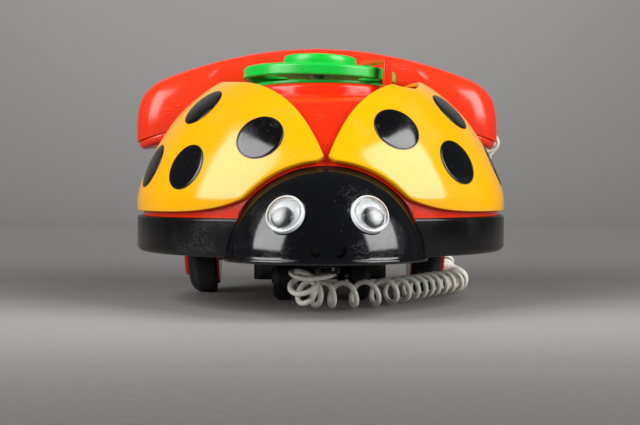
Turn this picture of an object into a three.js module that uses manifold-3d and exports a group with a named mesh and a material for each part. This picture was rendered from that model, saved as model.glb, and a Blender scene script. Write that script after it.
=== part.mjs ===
// A pull-along toy telephone in the shape of a ladybird: a red domed body on a black tray, two spotted
// yellow wing covers, a black head with wobbly eyes, a green finger dial with a return spring, a lift-off
// handset on a coiled cord, and four wheels whose rear axle rings a bell.
// Units are millimetres. +Z is up, -Y is the way the head faces, and z = 0 is the floor.
import * as THREE from 'three';
import { mergeVertices } from 'three/addons/utils/BufferGeometryUtils.js';
import Module from 'manifold-3d';

const wasm = await Module();
wasm.setup();

// ---------------------------------------------------------------- driving dimensions
const CENTRE = 8.7; // how far back the dome's axis stands from the toy's middle
const GAP = 0.3; // clearance between pieces that rest on each other
const TRAY = { radius: 83.2, bottom: 23.2, top: 38.8, wall: 2.4, floor: 2.5 };
const BODY = { radius: 80.4, wall: 2.4, foot: 34 };
const TURRET = { y: -8, radius: 34, top: 95.2, wall: 2.5 };
const WING = { wall: 2, gap: 2, opening: 44.5, apexY: -76, rearX: 25, archHigh: 20.8, archWide: 28.8,
  foot: 40.8, headGap: 2.7 };
const HEAD = { y: -64, z: 22, a: 41, b: 36, c: 39.8, wall: 2.2 };
const EYE = { x: 15.7, z: 40.5, radius: 7.5, cup: 2.4, lens: 6.8, dome: 3.1, seat: 1.0 };
const PUPIL = { radius: 4.3, out: 0.8, down: 1.4 }; // how far from the eye's middle the loose disc rests
const DIAL = { x: -0.9, radius: 34.2, bottom: 98.4, top: 103.6, skirt: 1.8, web: 2.2, holes: 10,
  holeRadius: 5.2, pitch: 24.8, firstHole: -8, holeStep: 30, lean: 1.8, plate: 30, plateTop: 96.8 };
const STOP = { x: 27.6, y: -35, tipX: 18, tipY: -19, foot: 84, under: 104.4, top: 106.2 };
const HUB = { radius: 16.5, top: 109.7 };
const HANDSET = { y: 58, half: 92, podX: 75, podRadius: 17, gripHalf: 11, tilt: 15, capLow: 74, cap: 4.8,
  wall: 2 };
const SLEEVE = { turn: 50, z: 79.5 }; // where the cord enters the handset's right pod
const REAR = { y: 35, radius: 17, tread: 15, inner: 46.2, axle: 1.6, play: -2 };
const FRONT = { y: -6, radius: 10.8, width: 8.4, inner: 13.2, axle: 1.5 };
const BOX = { half: 31, front: 6.5, back: 46, bottom: 8, wall: 2 };
const GONG_Y = 38; // how far behind the dome's axis the bell hangs
const CORD = { wire: 2.2, coil: 12, outX: 4, outY: -64 }; // and where it comes out of the tray

// Outlines as (radius, height) points, swept by splines: the wing covers' outside and the red dome's outside.
const WING_PROFILE = [[83.1, WING.foot], [82.9, 48], [79.7, 58], [73.8, 70], [65.3, 82.5], [55.5, 92],
  [45.7, 98.5], [38, 100.5]];
const BODY_PROFILE = [[BODY.radius, BODY.foot], [BODY.radius, 43], [79.4, 50], [76.2, 58.5], [70.3, 69],
  [61.9, 79.5], [51.5, 87], [42.6, 90.6], [30, 91]];

const COLOURS = {
  red: [0xf2321c, 0.25, 0], yellow: [0xffc400, 0.22, 0], black: [0x17161a, 0.3, 0], dull: [0x1b1a1c, 0.55, 0],
  green: [0x1fc641, 0.28, 0], white: [0xeeeeea, 0.3, 0], cord: [0xcfcdbf, 0.45, 0], clear: [0xf4f8fa, 0.05, 0],
  tyre: [0x121214, 0.7, 0], steel: [0xb8bbc0, 0.3, 1], brass: [0xc9a24a, 0.3, 1],
};

// ---------------------------------------------------------------- tools
const V2 = (x, y) => new THREE.Vector2(x, y);
const V3 = (x, y, z) => new THREE.Vector3(x, y, z);
const rad = THREE.MathUtils.degToRad;
const smooth = (x, a, b) => THREE.MathUtils.smoothstep(x, a, b);

// A closed three.js geometry as a manifold-3d solid, turned so that its faces point out.
function toSolid(geometry) {
  const bare = geometry.index ? geometry.toNonIndexed() : geometry.clone();
  for (const name of Object.keys(bare.attributes)) if (name !== 'position') bare.deleteAttribute(name);
  const merged = mergeVertices(bare, 1e-3);
  const p = merged.attributes.position.array;
  const kept = [];
  let volume = 0;
  for (let i = 0; i < merged.index.count; i += 3) {
    const [a, b, c] = [0, 1, 2].map((k) => merged.index.getX(i + k));
    if (a === b || b === c || c === a) continue;
    kept.push(a, b, c);
    const [u, v, w] = [a, b, c].map((k) => V3(p[3 * k], p[3 * k + 1], p[3 * k + 2]));
    volume += u.dot(v.cross(w));
  }
  if (volume < 0) kept.reverse();
  return new wasm.Manifold(new wasm.Mesh({ numProp: 3, vertProperties: p, triVerts: new Uint32Array(kept) }));
}

// The solid back as a three.js geometry.
function toGeometry(solid) {
  const m = solid.getMesh();
  const position = new Float32Array(m.numVert * 3);
  for (let i = 0; i < m.numVert; i++) {
    position.set(m.vertProperties.subarray(i * m.numProp, i * m.numProp + 3), i * 3);
  }
  return new THREE.BufferGeometry()
    .setAttribute('position', new THREE.BufferAttribute(position, 3))
    .setIndex(new THREE.BufferAttribute(m.triVerts, 1));
}

// A profile of (radius, height) points turned about Z.
function lathe(profile, segments = 32) {
  return toSolid(new THREE.LatheGeometry(profile.map(([r, z]) => V2(r, z)), segments).rotateX(Math.PI / 2));
}

// A closed ring profile: the last point goes back to the first.
const latheRing = (profile, segments) => lathe([...profile, profile[0]], segments);

function cylinder(radius, z0, z1, segments = 20) {
  return lathe([[0, z0], [radius, z0], [radius, z1], [0, z1]], segments);
}

function box(x0, x1, y0, y1, z0, z1) {
  return toSolid(new THREE.BoxGeometry(x1 - x0, y1 - y0, z1 - z0)
    .translate((x0 + x1) / 2, (y0 + y1) / 2, (z0 + z1) / 2));
}

// A flat outline of [x, y] points raised from z0 to z1.
function raise(outline, z0, z1) {
  const shape = new THREE.Shape(outline.map(([x, y]) => V2(x, y)));
  return toSolid(new THREE.ExtrudeGeometry(shape, { depth: z1 - z0, bevelEnabled: false }).translate(0, 0, z0));
}

// Sections with the same number of points, skinned and closed at both ends.
function loft(sections) {
  const n = sections[0].length;
  const position = [];
  const index = [];
  sections.forEach((section) => section.forEach((p) => position.push(p.x, p.y, p.z)));
  for (let i = 0; i + 1 < sections.length; i++) {
    for (let k = 0; k < n; k++) {
      const [a, b] = [i * n + k, i * n + ((k + 1) % n)];
      index.push(a, b, b + n, a, b + n, a + n);
    }
  }
  const last = (sections.length - 1) * n;
  for (let k = 1; k + 1 < n; k++) {
    index.push(0, k + 1, k);
    index.push(last, last + k, last + k + 1);
  }
  const geometry = new THREE.BufferGeometry();
  geometry.setAttribute('position', new THREE.Float32BufferAttribute(position, 3));
  geometry.setIndex(index);
  return toSolid(geometry);
}

// A round tube along a curve.
function tube(points, radius, sides, steps) {
  const curve = new THREE.CatmullRomCurve3(points, false, 'centripetal');
  const section = new THREE.Shape(Array.from({ length: sides }, (_, i) => {
    const a = (2 * Math.PI * i) / sides;
    return V2(radius * Math.cos(a), radius * Math.sin(a));
  }));
  return toSolid(new THREE.ExtrudeGeometry(section, { steps, extrudePath: curve }));
}

// Moves or turns a solid by way of its geometry.
function moved(solid, { x = 0, y = 0, z = 0, rx = 0, ry = 0, rz = 0 } = {}) {
  const geometry = toGeometry(solid);
  geometry.rotateX(rad(rx)).rotateY(rad(ry)).rotateZ(rad(rz)).translate(x, y, z);
  return toSolid(geometry);
}

const mirrored = (solid) => toSolid(toGeometry(solid).scale(-1, 1, 1));
const join = (...solids) => solids.reduce((a, b) => a.add(b));
const cut = (solid, ...tools) => tools.reduce((a, b) => a.subtract(b), solid);

// A profile moved sideways by d: outwards for a positive d on a profile that runs upwards on the outside.
function offset(profile, d) {
  return profile.map((p, i) => {
    const a = profile[Math.max(0, i - 1)];
    const b = profile[Math.min(profile.length - 1, i + 1)];
    const long = Math.hypot(b[0] - a[0], b[1] - a[1]);
    return [p[0] + (d * (b[1] - a[1])) / long, p[1] - (d * (b[0] - a[0])) / long];
  });
}

function sampled(points, steps) {
  return new THREE.SplineCurve(points.map(([x, y]) => V2(x, y))).getPoints(steps).map((p) => [p.x, p.y]);
}

function add(group, name, solid, colour) {
  const [color, roughness, metalness] = COLOURS[colour];
  const geometry = toGeometry(solid);
  geometry.computeVertexNormals();
  const mesh = new THREE.Mesh(geometry, new THREE.MeshStandardMaterial({ color, roughness, metalness }));
  mesh.name = name;
  group.add(mesh);
  return mesh;
}

function groupAt(parent, x, y, z) {
  const group = new THREE.Group();
  group.position.set(x, y, z);
  parent.add(group);
  return group;
}

const model = new THREE.Group();
const toy = groupAt(model, 0, CENTRE, 0);

// ---------------------------------------------------------------- body: tray, dome, wings
const SCREWS = [[-50, -32], [50, -32], [-27, 66], [27, 66]]; // the four that hold the dome on the tray

function trayRing() {
  const { radius, bottom, top, wall, floor } = TRAY;
  return lathe([[0, bottom], [radius - 1.5, bottom], [radius, bottom + 1.5], [radius, top],
    [radius - wall, top], [radius - wall, bottom + floor], [0, bottom + floor]], 48);
}

function baseTray() {
  const { radius, bottom, floor, wall } = TRAY;
  const [z0, z1] = [bottom - 1, bottom + floor + 1];
  const inside = cylinder(radius - wall - 0.8, z0, z1, 48);
  const well = box(REAR.inner - 3.6, 66.5, REAR.y - 18.6, REAR.y + 18.6, z0, z1).intersect(inside);
  const window = join(box(-14, 14, 21, 44, z0, z1), box(-2.8, 2.8, 13, 24, z0, z1));
  const holes = SCREWS.map(([x, y]) => moved(cylinder(1.8, z0, z1, 12), { x, y }));
  const lead = moved(cylinder(3.4, z0, z1, 16), { x: CORD.outX, y: CORD.outY });
  return cut(trayRing(), well, mirrored(well), window, lead, ...holes);
}

function domeSolid(grow = 0) {
  const outside = offset(sampled(BODY_PROFILE, 9), grow);
  const [r0, z0] = outside[0];
  const [, z1] = outside[outside.length - 1];
  return lathe([[0, z0], [r0, z0], ...outside.slice(1), [0, z1]], 48);
}

function bodyShell() {
  const turret = moved(cylinder(TURRET.radius, 80, TURRET.top, 36), { y: TURRET.y });
  const { wall } = TURRET;
  const room = moved(cylinder(TURRET.radius - wall, 70, TURRET.top - wall, 36), { y: TURRET.y });
  const mouth = cylinder(BODY.radius - BODY.wall, BODY.foot - 2, BODY.foot + 2, 48);
  const inside = join(domeSolid(-BODY.wall), mouth);
  const shell = cut(join(domeSolid(), turret), inside, room);
  const bossRoom = join(domeSolid(-1), cylinder(BODY.radius - 2.2, 20, 36, 30));
  const boss = SCREWS.map(([x, y]) => {
    const post = moved(cylinder(4, TRAY.bottom + TRAY.floor + GAP, 84, 10), { x, y });
    return cut(post.intersect(bossRoom), moved(cylinder(1.5, 20, 42, 8), { x, y }));
  });
  const gongBoss = moved(cut(cylinder(4, 62.5, 88.8, 12), cylinder(1.5, 60, 74, 10)), { y: GONG_Y });
  const spindleHole = moved(cylinder(3.4, 80, 100, 16), { x: DIAL.x, y: TURRET.y });
  return cut(join(shell, ...boss, gongBoss), spindleHole);
}

// The wing covers' plan opening: round the dial, with a vee to the front and a wide slot to the rear.
function openingOutline() {
  const { opening, gap, apexY, rearX } = WING;
  const lean = Math.asin(opening / (TURRET.y - apexY));
  const turn = [];
  for (let i = 0; i <= 7; i++) {
    const a = -lean + ((lean + rad(10)) * i) / 7;
    turn.push([opening * Math.cos(a), TURRET.y + opening * Math.sin(a)]);
  }
  const right = [[gap / 2, apexY - 8], [gap / 2, apexY - 1], ...turn, [rearX, 90]];
  return [...right, ...right.map(([x, y]) => [-x, y]).reverse()];
}

const archHeight = (x) => WING.foot + WING.archHigh * Math.exp(-((x / WING.archWide) ** 2));

function wing() {
  const outside = sampled(WING_PROFILE, 9);
  const blank = latheRing([...outside, ...offset(outside, -WING.wall).reverse()], 48);
  const side = box(WING.gap / 2, 100, -100, 100, 30, 120);
  const opening = raise(openingOutline(), 20, 130);
  const arch = [[80, 20], [-10, 20]];
  for (let x = -10; x <= 80; x += 7.5) arch.push([x, archHeight(Math.abs(x))]);
  const archTool = moved(raise(arch, 0, 110), { rx: 90 });
  return cut(blank.intersect(side), opening, archTool, ellipsoid(-WING.headGap));
}

// The shallow scoop in the right cover's top edge, beside the finger stop: it falls softly and rises sharply.
// Its rim as (degrees round from the front, distance from the dome's axis).
function wingNotch() {
  const rim = [[62, 40], [33, 40], [33, 51.6], [36.4, 52.9], [41, 53.7], [46.8, 53.8], [49.5, 53.1],
    [54, 51.3], [59, 49.2], [62, 47]];
  return raise(rim.map(([turn, r]) => [r * Math.sin(rad(turn)), -r * Math.cos(rad(turn))]), 80, 110);
}

function buildShells() {
  add(toy, 'base_tray', baseTray(), 'black');
  add(toy, 'body_shell', bodyShell(), 'red');
  add(toy, 'left_wing', mirrored(wing()), 'yellow');
  add(toy, 'right_wing', cut(wing(), wingNotch()), 'yellow');
}

// ---------------------------------------------------------------- head and wobbly eyes
function ellipsoid(shrink) {
  const { y, z, a, b, c } = HEAD;
  return toSolid(new THREE.SphereGeometry(1, 32, 20).rotateX(Math.PI / 2)
    .scale(a - shrink, b - shrink, c - shrink).translate(0, y, z));
}

// Where an eye sits on the head, and the way it looks.
function eyePlace(side) {
  const { a, b, c } = HEAD;
  const rise = EYE.z - HEAD.z;
  const depth = -b * Math.sqrt(1 - (EYE.x / a) ** 2 - (rise / c) ** 2);
  const point = V3(side * EYE.x, HEAD.y + depth, EYE.z);
  const normal = V3((side * EYE.x) / a ** 2, depth / b ** 2, rise / c ** 2).normalize();
  return { point, normal };
}

// Turns +Z to the eye's look, with the local +Y axis as near to straight up as it goes.
function eyeTurn(normal) {
  const across = V3(0, 0, 1).cross(normal).normalize();
  const up = normal.clone().cross(across);
  return new THREE.Matrix4().makeBasis(across, up, normal);
}

function headShell() {
  const { z, wall } = HEAD;
  const aboveFloor = box(-60, 60, -120, -20, z, 90);
  const behind = join(cylinder(TRAY.radius + GAP, z - 2, TRAY.top + 0.4, 48), domeSolid(GAP));
  const hollow = ellipsoid(wall).intersect(box(-60, 60, -120, -20, z + 2, 90));
  const tools = [behind, hollow];
  for (const side of [-1, 1]) {
    const { point, normal } = eyePlace(side);
    const seat = toGeometry(cylinder(EYE.radius + 0.4, -EYE.seat, 12, 20)).applyMatrix4(eyeTurn(normal));
    tools.push(toSolid(seat.translate(point.x, point.y, point.z)));
    tools.push(moved(toSolid(new THREE.CylinderGeometry(1.5, 1.5, 14, 10).scale(1, 1, 1.35)),
      { x: side * 4.9, y: -96, z: 27 }));
  }
  const flange = toGeometry(cylinder(1, z, z + 1.6, 40)).scale(HEAD.a + 0.6, HEAD.b + 0.6, 1);
  const rim = toSolid(flange.translate(0, HEAD.y, 0));
  return cut(join(ellipsoid(0).intersect(aboveFloor), rim), ...tools);
}

function buildHead() {
  add(toy, 'head_shell', headShell(), 'black');
  const { radius, cup, lens, dome, seat } = EYE;
  const base = -seat + GAP;
  const cupShape = lathe([[0, base], [radius, base], [radius, base + cup], [lens + 0.25, base + cup],
    [lens + 0.25, base + 1.2], [0, base + 1.2]], 20);
  const foot = base + 1.2 + GAP;
  const arc = (r, h, n) => Array.from({ length: n + 1 }, (_, i) => {
    const a = (Math.PI / 2) * (i / n);
    return [r * Math.cos(a), foot + 0.9 + h * Math.sin(a)];
  });
  const thin = 0.6;
  const lensInside = [...arc(lens - thin, dome - thin, 4).reverse(), [lens - thin, foot]];
  const lensShape = latheRing([[lens, foot], ...arc(lens, dome, 4), ...lensInside], 18);
  for (const [name, side] of [['left', -1], ['right', 1]]) {
    const { point, normal } = eyePlace(side);
    const eye = groupAt(toy, point.x, point.y, point.z);
    eye.setRotationFromMatrix(eyeTurn(normal));
    add(eye, `${name}_eye_cup`, cupShape, 'white');
    add(eye, `${name}_eye_lens`, lensShape, 'clear');
    const disc = add(eye, `${name}_pupil`, cylinder(PUPIL.radius, 0, 0.8, 16), 'dull');
    disc.position.set(side * PUPIL.out, -PUPIL.down, foot + 0.1);
  }
}

// ---------------------------------------------------------------- dial and its works
function dialWheel() {
  const { radius, bottom, top, skirt, web, holes, holeRadius, pitch } = DIAL;
  const disc = lathe([[0, top - web], [radius - skirt, top - web], [radius - skirt, bottom],
    [radius - 0.6, bottom], [radius, bottom + 0.6], [radius, top - 0.8], [radius - 0.8, top], [0, top]], 40);
  const tools = [cylinder(2.4, top - web - 1, top + 1, 16)];
  for (let i = 0; i < holes; i++) {
    const a = rad(DIAL.firstHole + DIAL.holeStep * i);
    const hole = cylinder(holeRadius, bottom, top + 1, 12);
    tools.push(moved(hole, { x: pitch * Math.cos(a), y: pitch * Math.sin(a) }));
  }
  return cut(disc, ...tools);
}

function ratchetWheel() {
  const teeth = 16;
  const outline = [];
  for (let i = 0; i < teeth; i++) {
    const a = (2 * Math.PI * i) / teeth;
    outline.push([12 * Math.cos(a), 12 * Math.sin(a)]);
    outline.push([9.8 * Math.cos(a + 0.08), 9.8 * Math.sin(a + 0.08)]);
  }
  return cut(raise(outline, 84, 87), cylinder(3.3, 83, 88, 16));
}

function spiralSpring() {
  const turns = 2.5;
  const steps = 30;
  const inner = [];
  const outer = [];
  for (let i = 0; i <= steps; i++) {
    const a = (2 * Math.PI * turns * i) / steps;
    const r = 3.7 + (8.8 * i) / steps;
    inner.push([(r - 0.3) * Math.cos(a), (r - 0.3) * Math.sin(a)]);
    outer.push([(r + 0.3) * Math.cos(a), (r + 0.3) * Math.sin(a)]);
  }
  return raise([...outer, ...inner.reverse()], 88, 91);
}

function buildDial() {
  const centre = groupAt(toy, DIAL.x, TURRET.y, 0);
  const { top, plate, plateTop } = DIAL;
  const numberPlate = cut(cylinder(plate, TURRET.top + GAP, plateTop, 36), cylinder(3.4, 90, 100, 16));
  add(centre, 'number_plate', numberPlate, 'green');
  const leaf = join(box(12.4, 13, -9, 3, 84, 87), box(12.4, 17, -9, -6, 84, 92.2));
  add(centre, 'click_leaf', leaf, 'steel');

  // what turns leans a little towards +X, about the middle of the turret's lid
  const lean = groupAt(centre, 0, 0, TURRET.top);
  lean.rotation.y = rad(DIAL.lean);
  const works = groupAt(lean, 0, 0, -TURRET.top);
  add(works, 'dial_wheel', dialWheel(), 'green');
  const hub = cut(lathe([[0, top + GAP], [HUB.radius, top + GAP], [HUB.radius, HUB.top - 1.6],
    [HUB.radius - 0.5, HUB.top - 0.5], [HUB.radius - 1.6, HUB.top], [0, HUB.top]], 28),
  cylinder(2.4, top, HUB.top - 2, 16));
  add(works, 'dial_hub', hub, 'green');
  const spindle = join(cylinder(2.1, 80.5, HUB.top - 2.3, 16), cylinder(3, 80.5, 98, 16));
  add(works, 'dial_spindle', spindle, 'steel');
  add(works, 'ratchet_wheel', ratchetWheel(), 'white');
  add(works, 'dial_spring', spiralSpring(), 'steel');
  add(works, 'spindle_washer', cylinder(4, 78.6, 80.2, 14), 'steel');
}

// A square post beside the dial with a thin arm over the finger holes.
function buildFingerStop() {
  const { top, under, foot } = STOP;
  const [half, flat] = [2, 1.4];
  const [alongX, alongY] = [STOP.tipX - STOP.x, STOP.tipY - STOP.y];
  const turn = Math.atan2(alongY, alongX);
  const reach = Math.hypot(alongX, alongY) - half;
  const stop = groupAt(toy, STOP.x, STOP.y, 0);
  const quarter = [[half, flat], [flat, half]];
  const outline = [...quarter, ...quarter.map(([x, y]) => [-x, y]).reverse()];
  const post = raise([...outline, ...outline.map(([x, y]) => [-x, -y])], foot, top);
  const arm = moved(box(-1, reach, -half, half, under, top), { rz: THREE.MathUtils.radToDeg(turn) });
  const end = { x: reach * Math.cos(turn), y: reach * Math.sin(turn) };
  const tip = moved(cylinder(half, under, top, 14), end);
  const dome = moved(domeSolid(GAP), { x: -STOP.x, y: -STOP.y });
  const sweep = cylinder(DIAL.radius + 0.6, foot, DIAL.top + 0.9, 60);
  const skirt = moved(sweep, { x: DIAL.x - STOP.x, y: TURRET.y - STOP.y });
  add(stop, 'finger_stop', cut(join(post, arm, tip), dome, skirt), 'red');
}

// ---------------------------------------------------------------- handset and its cradle
const HANDSET_TOP = [[0, 121.9], [20, 120.8], [40.5, 117.5], [60, 112.6], [77.7, 106.2], [84.5, 102],
  [88.6, 97.5], [91, 91], [HANDSET.half, 83]];
const gripUnder = (x) => 101.8 - 0.0016 * x * x;
const capPlane = (x) => HANDSET.capLow + (HANDSET.half - x) * Math.tan(rad(HANDSET.tilt));

function handsetHalfWidth(x) {
  const { podX, podRadius, gripHalf } = HANDSET;
  if (x > podX) return Math.sqrt(Math.max(0.6, podRadius ** 2 - (x - podX) ** 2));
  return gripHalf + (podRadius - gripHalf) * smooth(x, 42, 72);
}

function handsetSection(x, top, under, halfWidth) {
  const n = 12;
  return Array.from({ length: n }, (_, i) => {
    const a = (2 * Math.PI * (i + 0.5)) / n;
    const [c, s] = [Math.cos(a), Math.sin(a)];
    const power = 2 / 2.7;
    const z = (top + under) / 2 + ((top - under) / 2) * Math.sign(s) * Math.abs(s) ** power;
    return V3(x, halfWidth * Math.sign(c) * Math.abs(c) ** power, z);
  });
}

// The handset's outside, or, for shrink over 0, the room inside it, which is open below.
function handsetLoft(shrink) {
  const half = sampled(HANDSET_TOP, 12).filter(([x]) => x < HANDSET.half - shrink + 0.01);
  const stations = half.map(([x, top]) => {
    const under = gripUnder(x) + (capPlane(x) - 12 - gripUnder(x)) * smooth(x, 48, 58);
    const halfWidth = Math.max(0.7, handsetHalfWidth(x) - shrink);
    return { x, top: top - shrink * 1.1, under: under - shrink * 4, halfWidth };
  });
  const all = [...stations.slice(1).reverse().map((s) => ({ ...s, x: -s.x })), ...stations];
  return loft(all.map((s) => handsetSection(s.x, s.top, s.under, s.halfWidth)));
}

function podTools(grow) {
  const below = moved(box(-26, 30, -40, 40, -40, grow), { ry: HANDSET.tilt });
  return [1, -1].map((side) => {
    const tool = moved(below, { x: HANDSET.podX, z: capPlane(HANDSET.podX) });
    return side > 0 ? tool : mirrored(tool);
  });
}

function earCap() {
  const { cap, podRadius } = HANDSET;
  const r = podRadius - 0.3;
  const disc = lathe([[0, -cap + 0.6], [r - 5, -cap], [r - 2, -cap + 0.2], [r - 0.6, -cap + 1.2],
    [r, -cap + 2.8], [r, -GAP], [r - 2, -GAP], [r - 2, -cap + 2.2], [0, -cap + 2.2]], 24);
  const tools = [cylinder(1.4, -8, 0, 6)];
  for (let i = 0; i < 6; i++) {
    const a = (i * Math.PI) / 3;
    tools.push(moved(cylinder(1.4, -8, 0, 6), { x: 6 * Math.cos(a), y: 6 * Math.sin(a) }));
  }
  return cut(disc, ...tools);
}

function gripCover() {
  const [half, thick] = [8.2, 1.8];
  const corners = [[-half, 0], [half, 0], [half, thick], [-half, thick]];
  const section = (x) => corners.map(([y, z]) => V3(x, y, gripUnder(x) + z));
  const xs = [-45, -34, -22, -11, 0, 11, 22, 34, 45];
  const tools = [-34, 34].map((x) => moved(cylinder(1.7, 90, 110, 12), { x }));
  return cut(loft(xs.map(section)), ...tools);
}

function screwSolid(head, shaft, length) {
  return lathe([[0, 0], [head, 0], [head, 1.4], [shaft, 1.4], [shaft, length], [0, length]], 10);
}

function buildHandset() {
  const handset = groupAt(toy, 0, HANDSET.y, 0);
  const { podX, podRadius } = HANDSET;
  const [c, s] = [Math.cos(rad(SLEEVE.turn)), Math.sin(rad(SLEEVE.turn))];
  const sleeveHole = moved(cylinder(2.6, -8, 8, 14),
    { ry: 90, rz: SLEEVE.turn, x: podX + podRadius * c, y: podRadius * s, z: SLEEVE.z });
  const body = cut(handsetLoft(0), ...podTools(0), handsetLoft(HANDSET.wall), sleeveHole);
  add(handset, 'handset_body', body, 'red');
  add(handset, 'handset_grip_cover', gripCover(), 'red');
  for (const [name, side] of [['earpiece_cap', -1], ['mouthpiece_cap', 1]]) {
    const cap = add(handset, name, earCap(), 'red');
    cap.position.set(side * HANDSET.podX, 0, capPlane(HANDSET.podX));
    cap.rotation.y = side * rad(HANDSET.tilt);
  }
  [-34, 34].forEach((x, i) => {
    const screw = add(handset, `handset_screw_${i + 1}`, screwSolid(2.8, 1.3, 9.4), 'steel');
    screw.position.set(x, 0, gripUnder(x) - 1.9 - GAP);
  });
  const sleeve = lathe([[0, 0], [3.6, 0], [3.6, 1.4], [2.2, 1.4], [2.2, 6], [0, 6]], 16);
  const seat = add(handset, 'handset_cord_sleeve', cut(sleeve, cylinder(1.25, -1, 4, 12)), 'cord');
  const out = podRadius + 1.4 + GAP;
  seat.position.set(podX + out * c, out * s, SLEEVE.z);
  seat.rotation.set(0, -Math.PI / 2, rad(SLEEVE.turn), 'ZYX');
}

// Two forks on a bridge, standing on the dome behind the dial.
function buildCradle() {
  const cradle = groupAt(toy, 0, HANDSET.y, 0);
  const { gripHalf } = HANDSET;
  const saddle = gripUnder(26) - GAP;
  const outline = [[-gripHalf - 5, 70], [gripHalf + 5, 70], [gripHalf + 4, 104], [gripHalf + 1.2, 106],
    [gripHalf + 0.8, saddle + 3], [gripHalf - 2, saddle], [2 - gripHalf, saddle],
    [-gripHalf - 0.8, saddle + 3], [-gripHalf - 1.2, 106], [-gripHalf - 4, 104]];
  const fork = moved(moved(raise(outline, -2.5, 2.5), { rx: 90 }), { rz: 90, x: 26 });
  const bridge = box(-26, 26, -gripHalf - 3, gripHalf + 3, 88, 91.5);
  const dome = toSolid(toGeometry(domeSolid(GAP)).translate(0, -HANDSET.y, 0));
  add(cradle, 'handset_cradle', cut(join(fork, mirrored(fork), bridge), dome), 'red');
}

// ---------------------------------------------------------------- wheels, axles, bell
function rearTyre() {
  const { radius, tread } = REAR;
  return latheRing([[9.2, 1.6], [radius - 0.8, 1.6], [radius, 2.6], [radius, tread - 5.4],
    [radius - 1.2, tread - 2.8], [radius - 4, tread - 0.8], [9.4, tread], [9.2, tread]], 28);
}

function rearHub() {
  const { tread, axle } = REAR;
  return lathe([[0, tread], [axle + 0.15, tread], [axle + 0.15, 0], [13, 0], [13, 1.3], [8.9, 1.3],
    [8.9, tread + 1.2], [7.6, tread + 2], [0, tread + 2.2]], 20);
}

function wheelPair(parent, nameOf, parts, inner) {
  for (const [name, side] of [['left', -1], ['right', 1]]) {
    for (const [part, solid, colour] of parts) {
      const mesh = add(parent, nameOf(name, part), solid, colour);
      mesh.position.x = side * inner;
      mesh.rotation.y = (side * Math.PI) / 2;
    }
  }
}

function axleRod(radius, half) {
  return moved(cylinder(radius, -half, half, 16), { ry: 90 });
}

function starCam() {
  const outline = [];
  for (let i = 0; i < 10; i++) {
    const a = (Math.PI * i) / 5;
    const r = i % 2 ? 4.2 : 6.6;
    outline.push([r * Math.cos(a), r * Math.sin(a)]);
  }
  return moved(cut(raise(outline, -2.5, 2.5), cylinder(REAR.axle + 0.15, -4, 4, 16)), { ry: 90 });
}

function buildWheels() {
  const rear = groupAt(toy, REAR.play, REAR.y, REAR.radius);
  add(rear, 'rear_axle', axleRod(REAR.axle, REAR.inner + REAR.tread - 0.5), 'steel');
  const rearParts = [['hub', rearHub(), 'red'], ['tyre', rearTyre(), 'tyre']];
  wheelPair(rear, (side, part) => `rear_${side}_${part}`, rearParts, REAR.inner);
  add(rear, 'star_cam', starCam(), 'white').position.x = -REAR.play;

  const front = groupAt(toy, 0, FRONT.y, FRONT.radius);
  const { radius, width, inner, axle } = FRONT;
  add(front, 'front_axle', axleRod(axle, inner + width - 0.4), 'steel');
  const wheel = lathe([[0, width], [axle + 0.15, width], [axle + 0.15, -0.6], [3.4, -0.6], [3.4, 0],
    [radius - 1, 0], [radius, 1], [radius, width - 2], [radius - 2, width], [8, width],
    [7.4, width - 1], [4, width - 1],
    [3.4, width + 0.8], [0, width + 0.8]], 24);
  wheelPair(front, (side) => `front_${side}_wheel`, [['', wheel, 'tyre']], inner);
}

function underbodyBox() {
  const { half, front, back, bottom, wall } = BOX;
  const top = TRAY.bottom - GAP;
  const outline = (grow) => {
    const [x, y0, y1, r] = [half - grow, front + grow, back - grow, 4 - grow];
    const corner = (cx, cy, from) => [0, 1, 2, 3].map((i) => {
      const a = rad(from + 30 * i);
      return [cx + r * Math.cos(a), cy + r * Math.sin(a)];
    });
    return [...corner(x - r, y1 - r, 0), ...corner(r - x, y1 - r, 90), ...corner(r - x, y0 + r, 180),
      ...corner(x - r, y0 + r, 270)];
  };
  const shell = cut(raise(outline(0), bottom, top), raise(outline(wall), bottom + wall, top + 1));
  const bore = moved(cylinder(REAR.axle + 0.25, -40, 40, 20), { ry: 90, y: REAR.y, z: REAR.radius });
  const post = (x) => moved(cylinder(3.4, bottom + 1, top, 14), { x, y: 12 });
  const hole = (x) => join(moved(cylinder(1.7, bottom - 1, top + 1, 12), { x, y: 12 }),
    moved(cylinder(3, bottom - 1, bottom + 2.2, 14), { x, y: 12 }));
  return cut(join(shell, post(-22), post(22)), bore, hole(-22), hole(22));
}

function frontBracket() {
  const top = TRAY.bottom - GAP;
  const { y } = FRONT;
  const plate = box(-11, 11, y - 10, y + 10, top - 2.4, top);
  const ear = (x) => {
    const foot = [[y - 5, 8], [y - 2.5, 6.6], [y + 2.5, 6.6], [y + 5, 8]];
    const side = raise([[y - 10, top - 1], ...foot, [y + 10, top - 1]], -1.6, 1.6);
    return moved(moved(side, { rx: 90 }), { rz: 90, x });
  };
  const bore = moved(moved(cylinder(FRONT.axle + 0.25, -20, 20, 20), { ry: 90 }), { y, z: FRONT.radius });
  const hole = moved(cylinder(1.7, 10, 30, 12), { y });
  return cut(join(plate, ear(-9), ear(9)), bore, hole);
}

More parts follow.
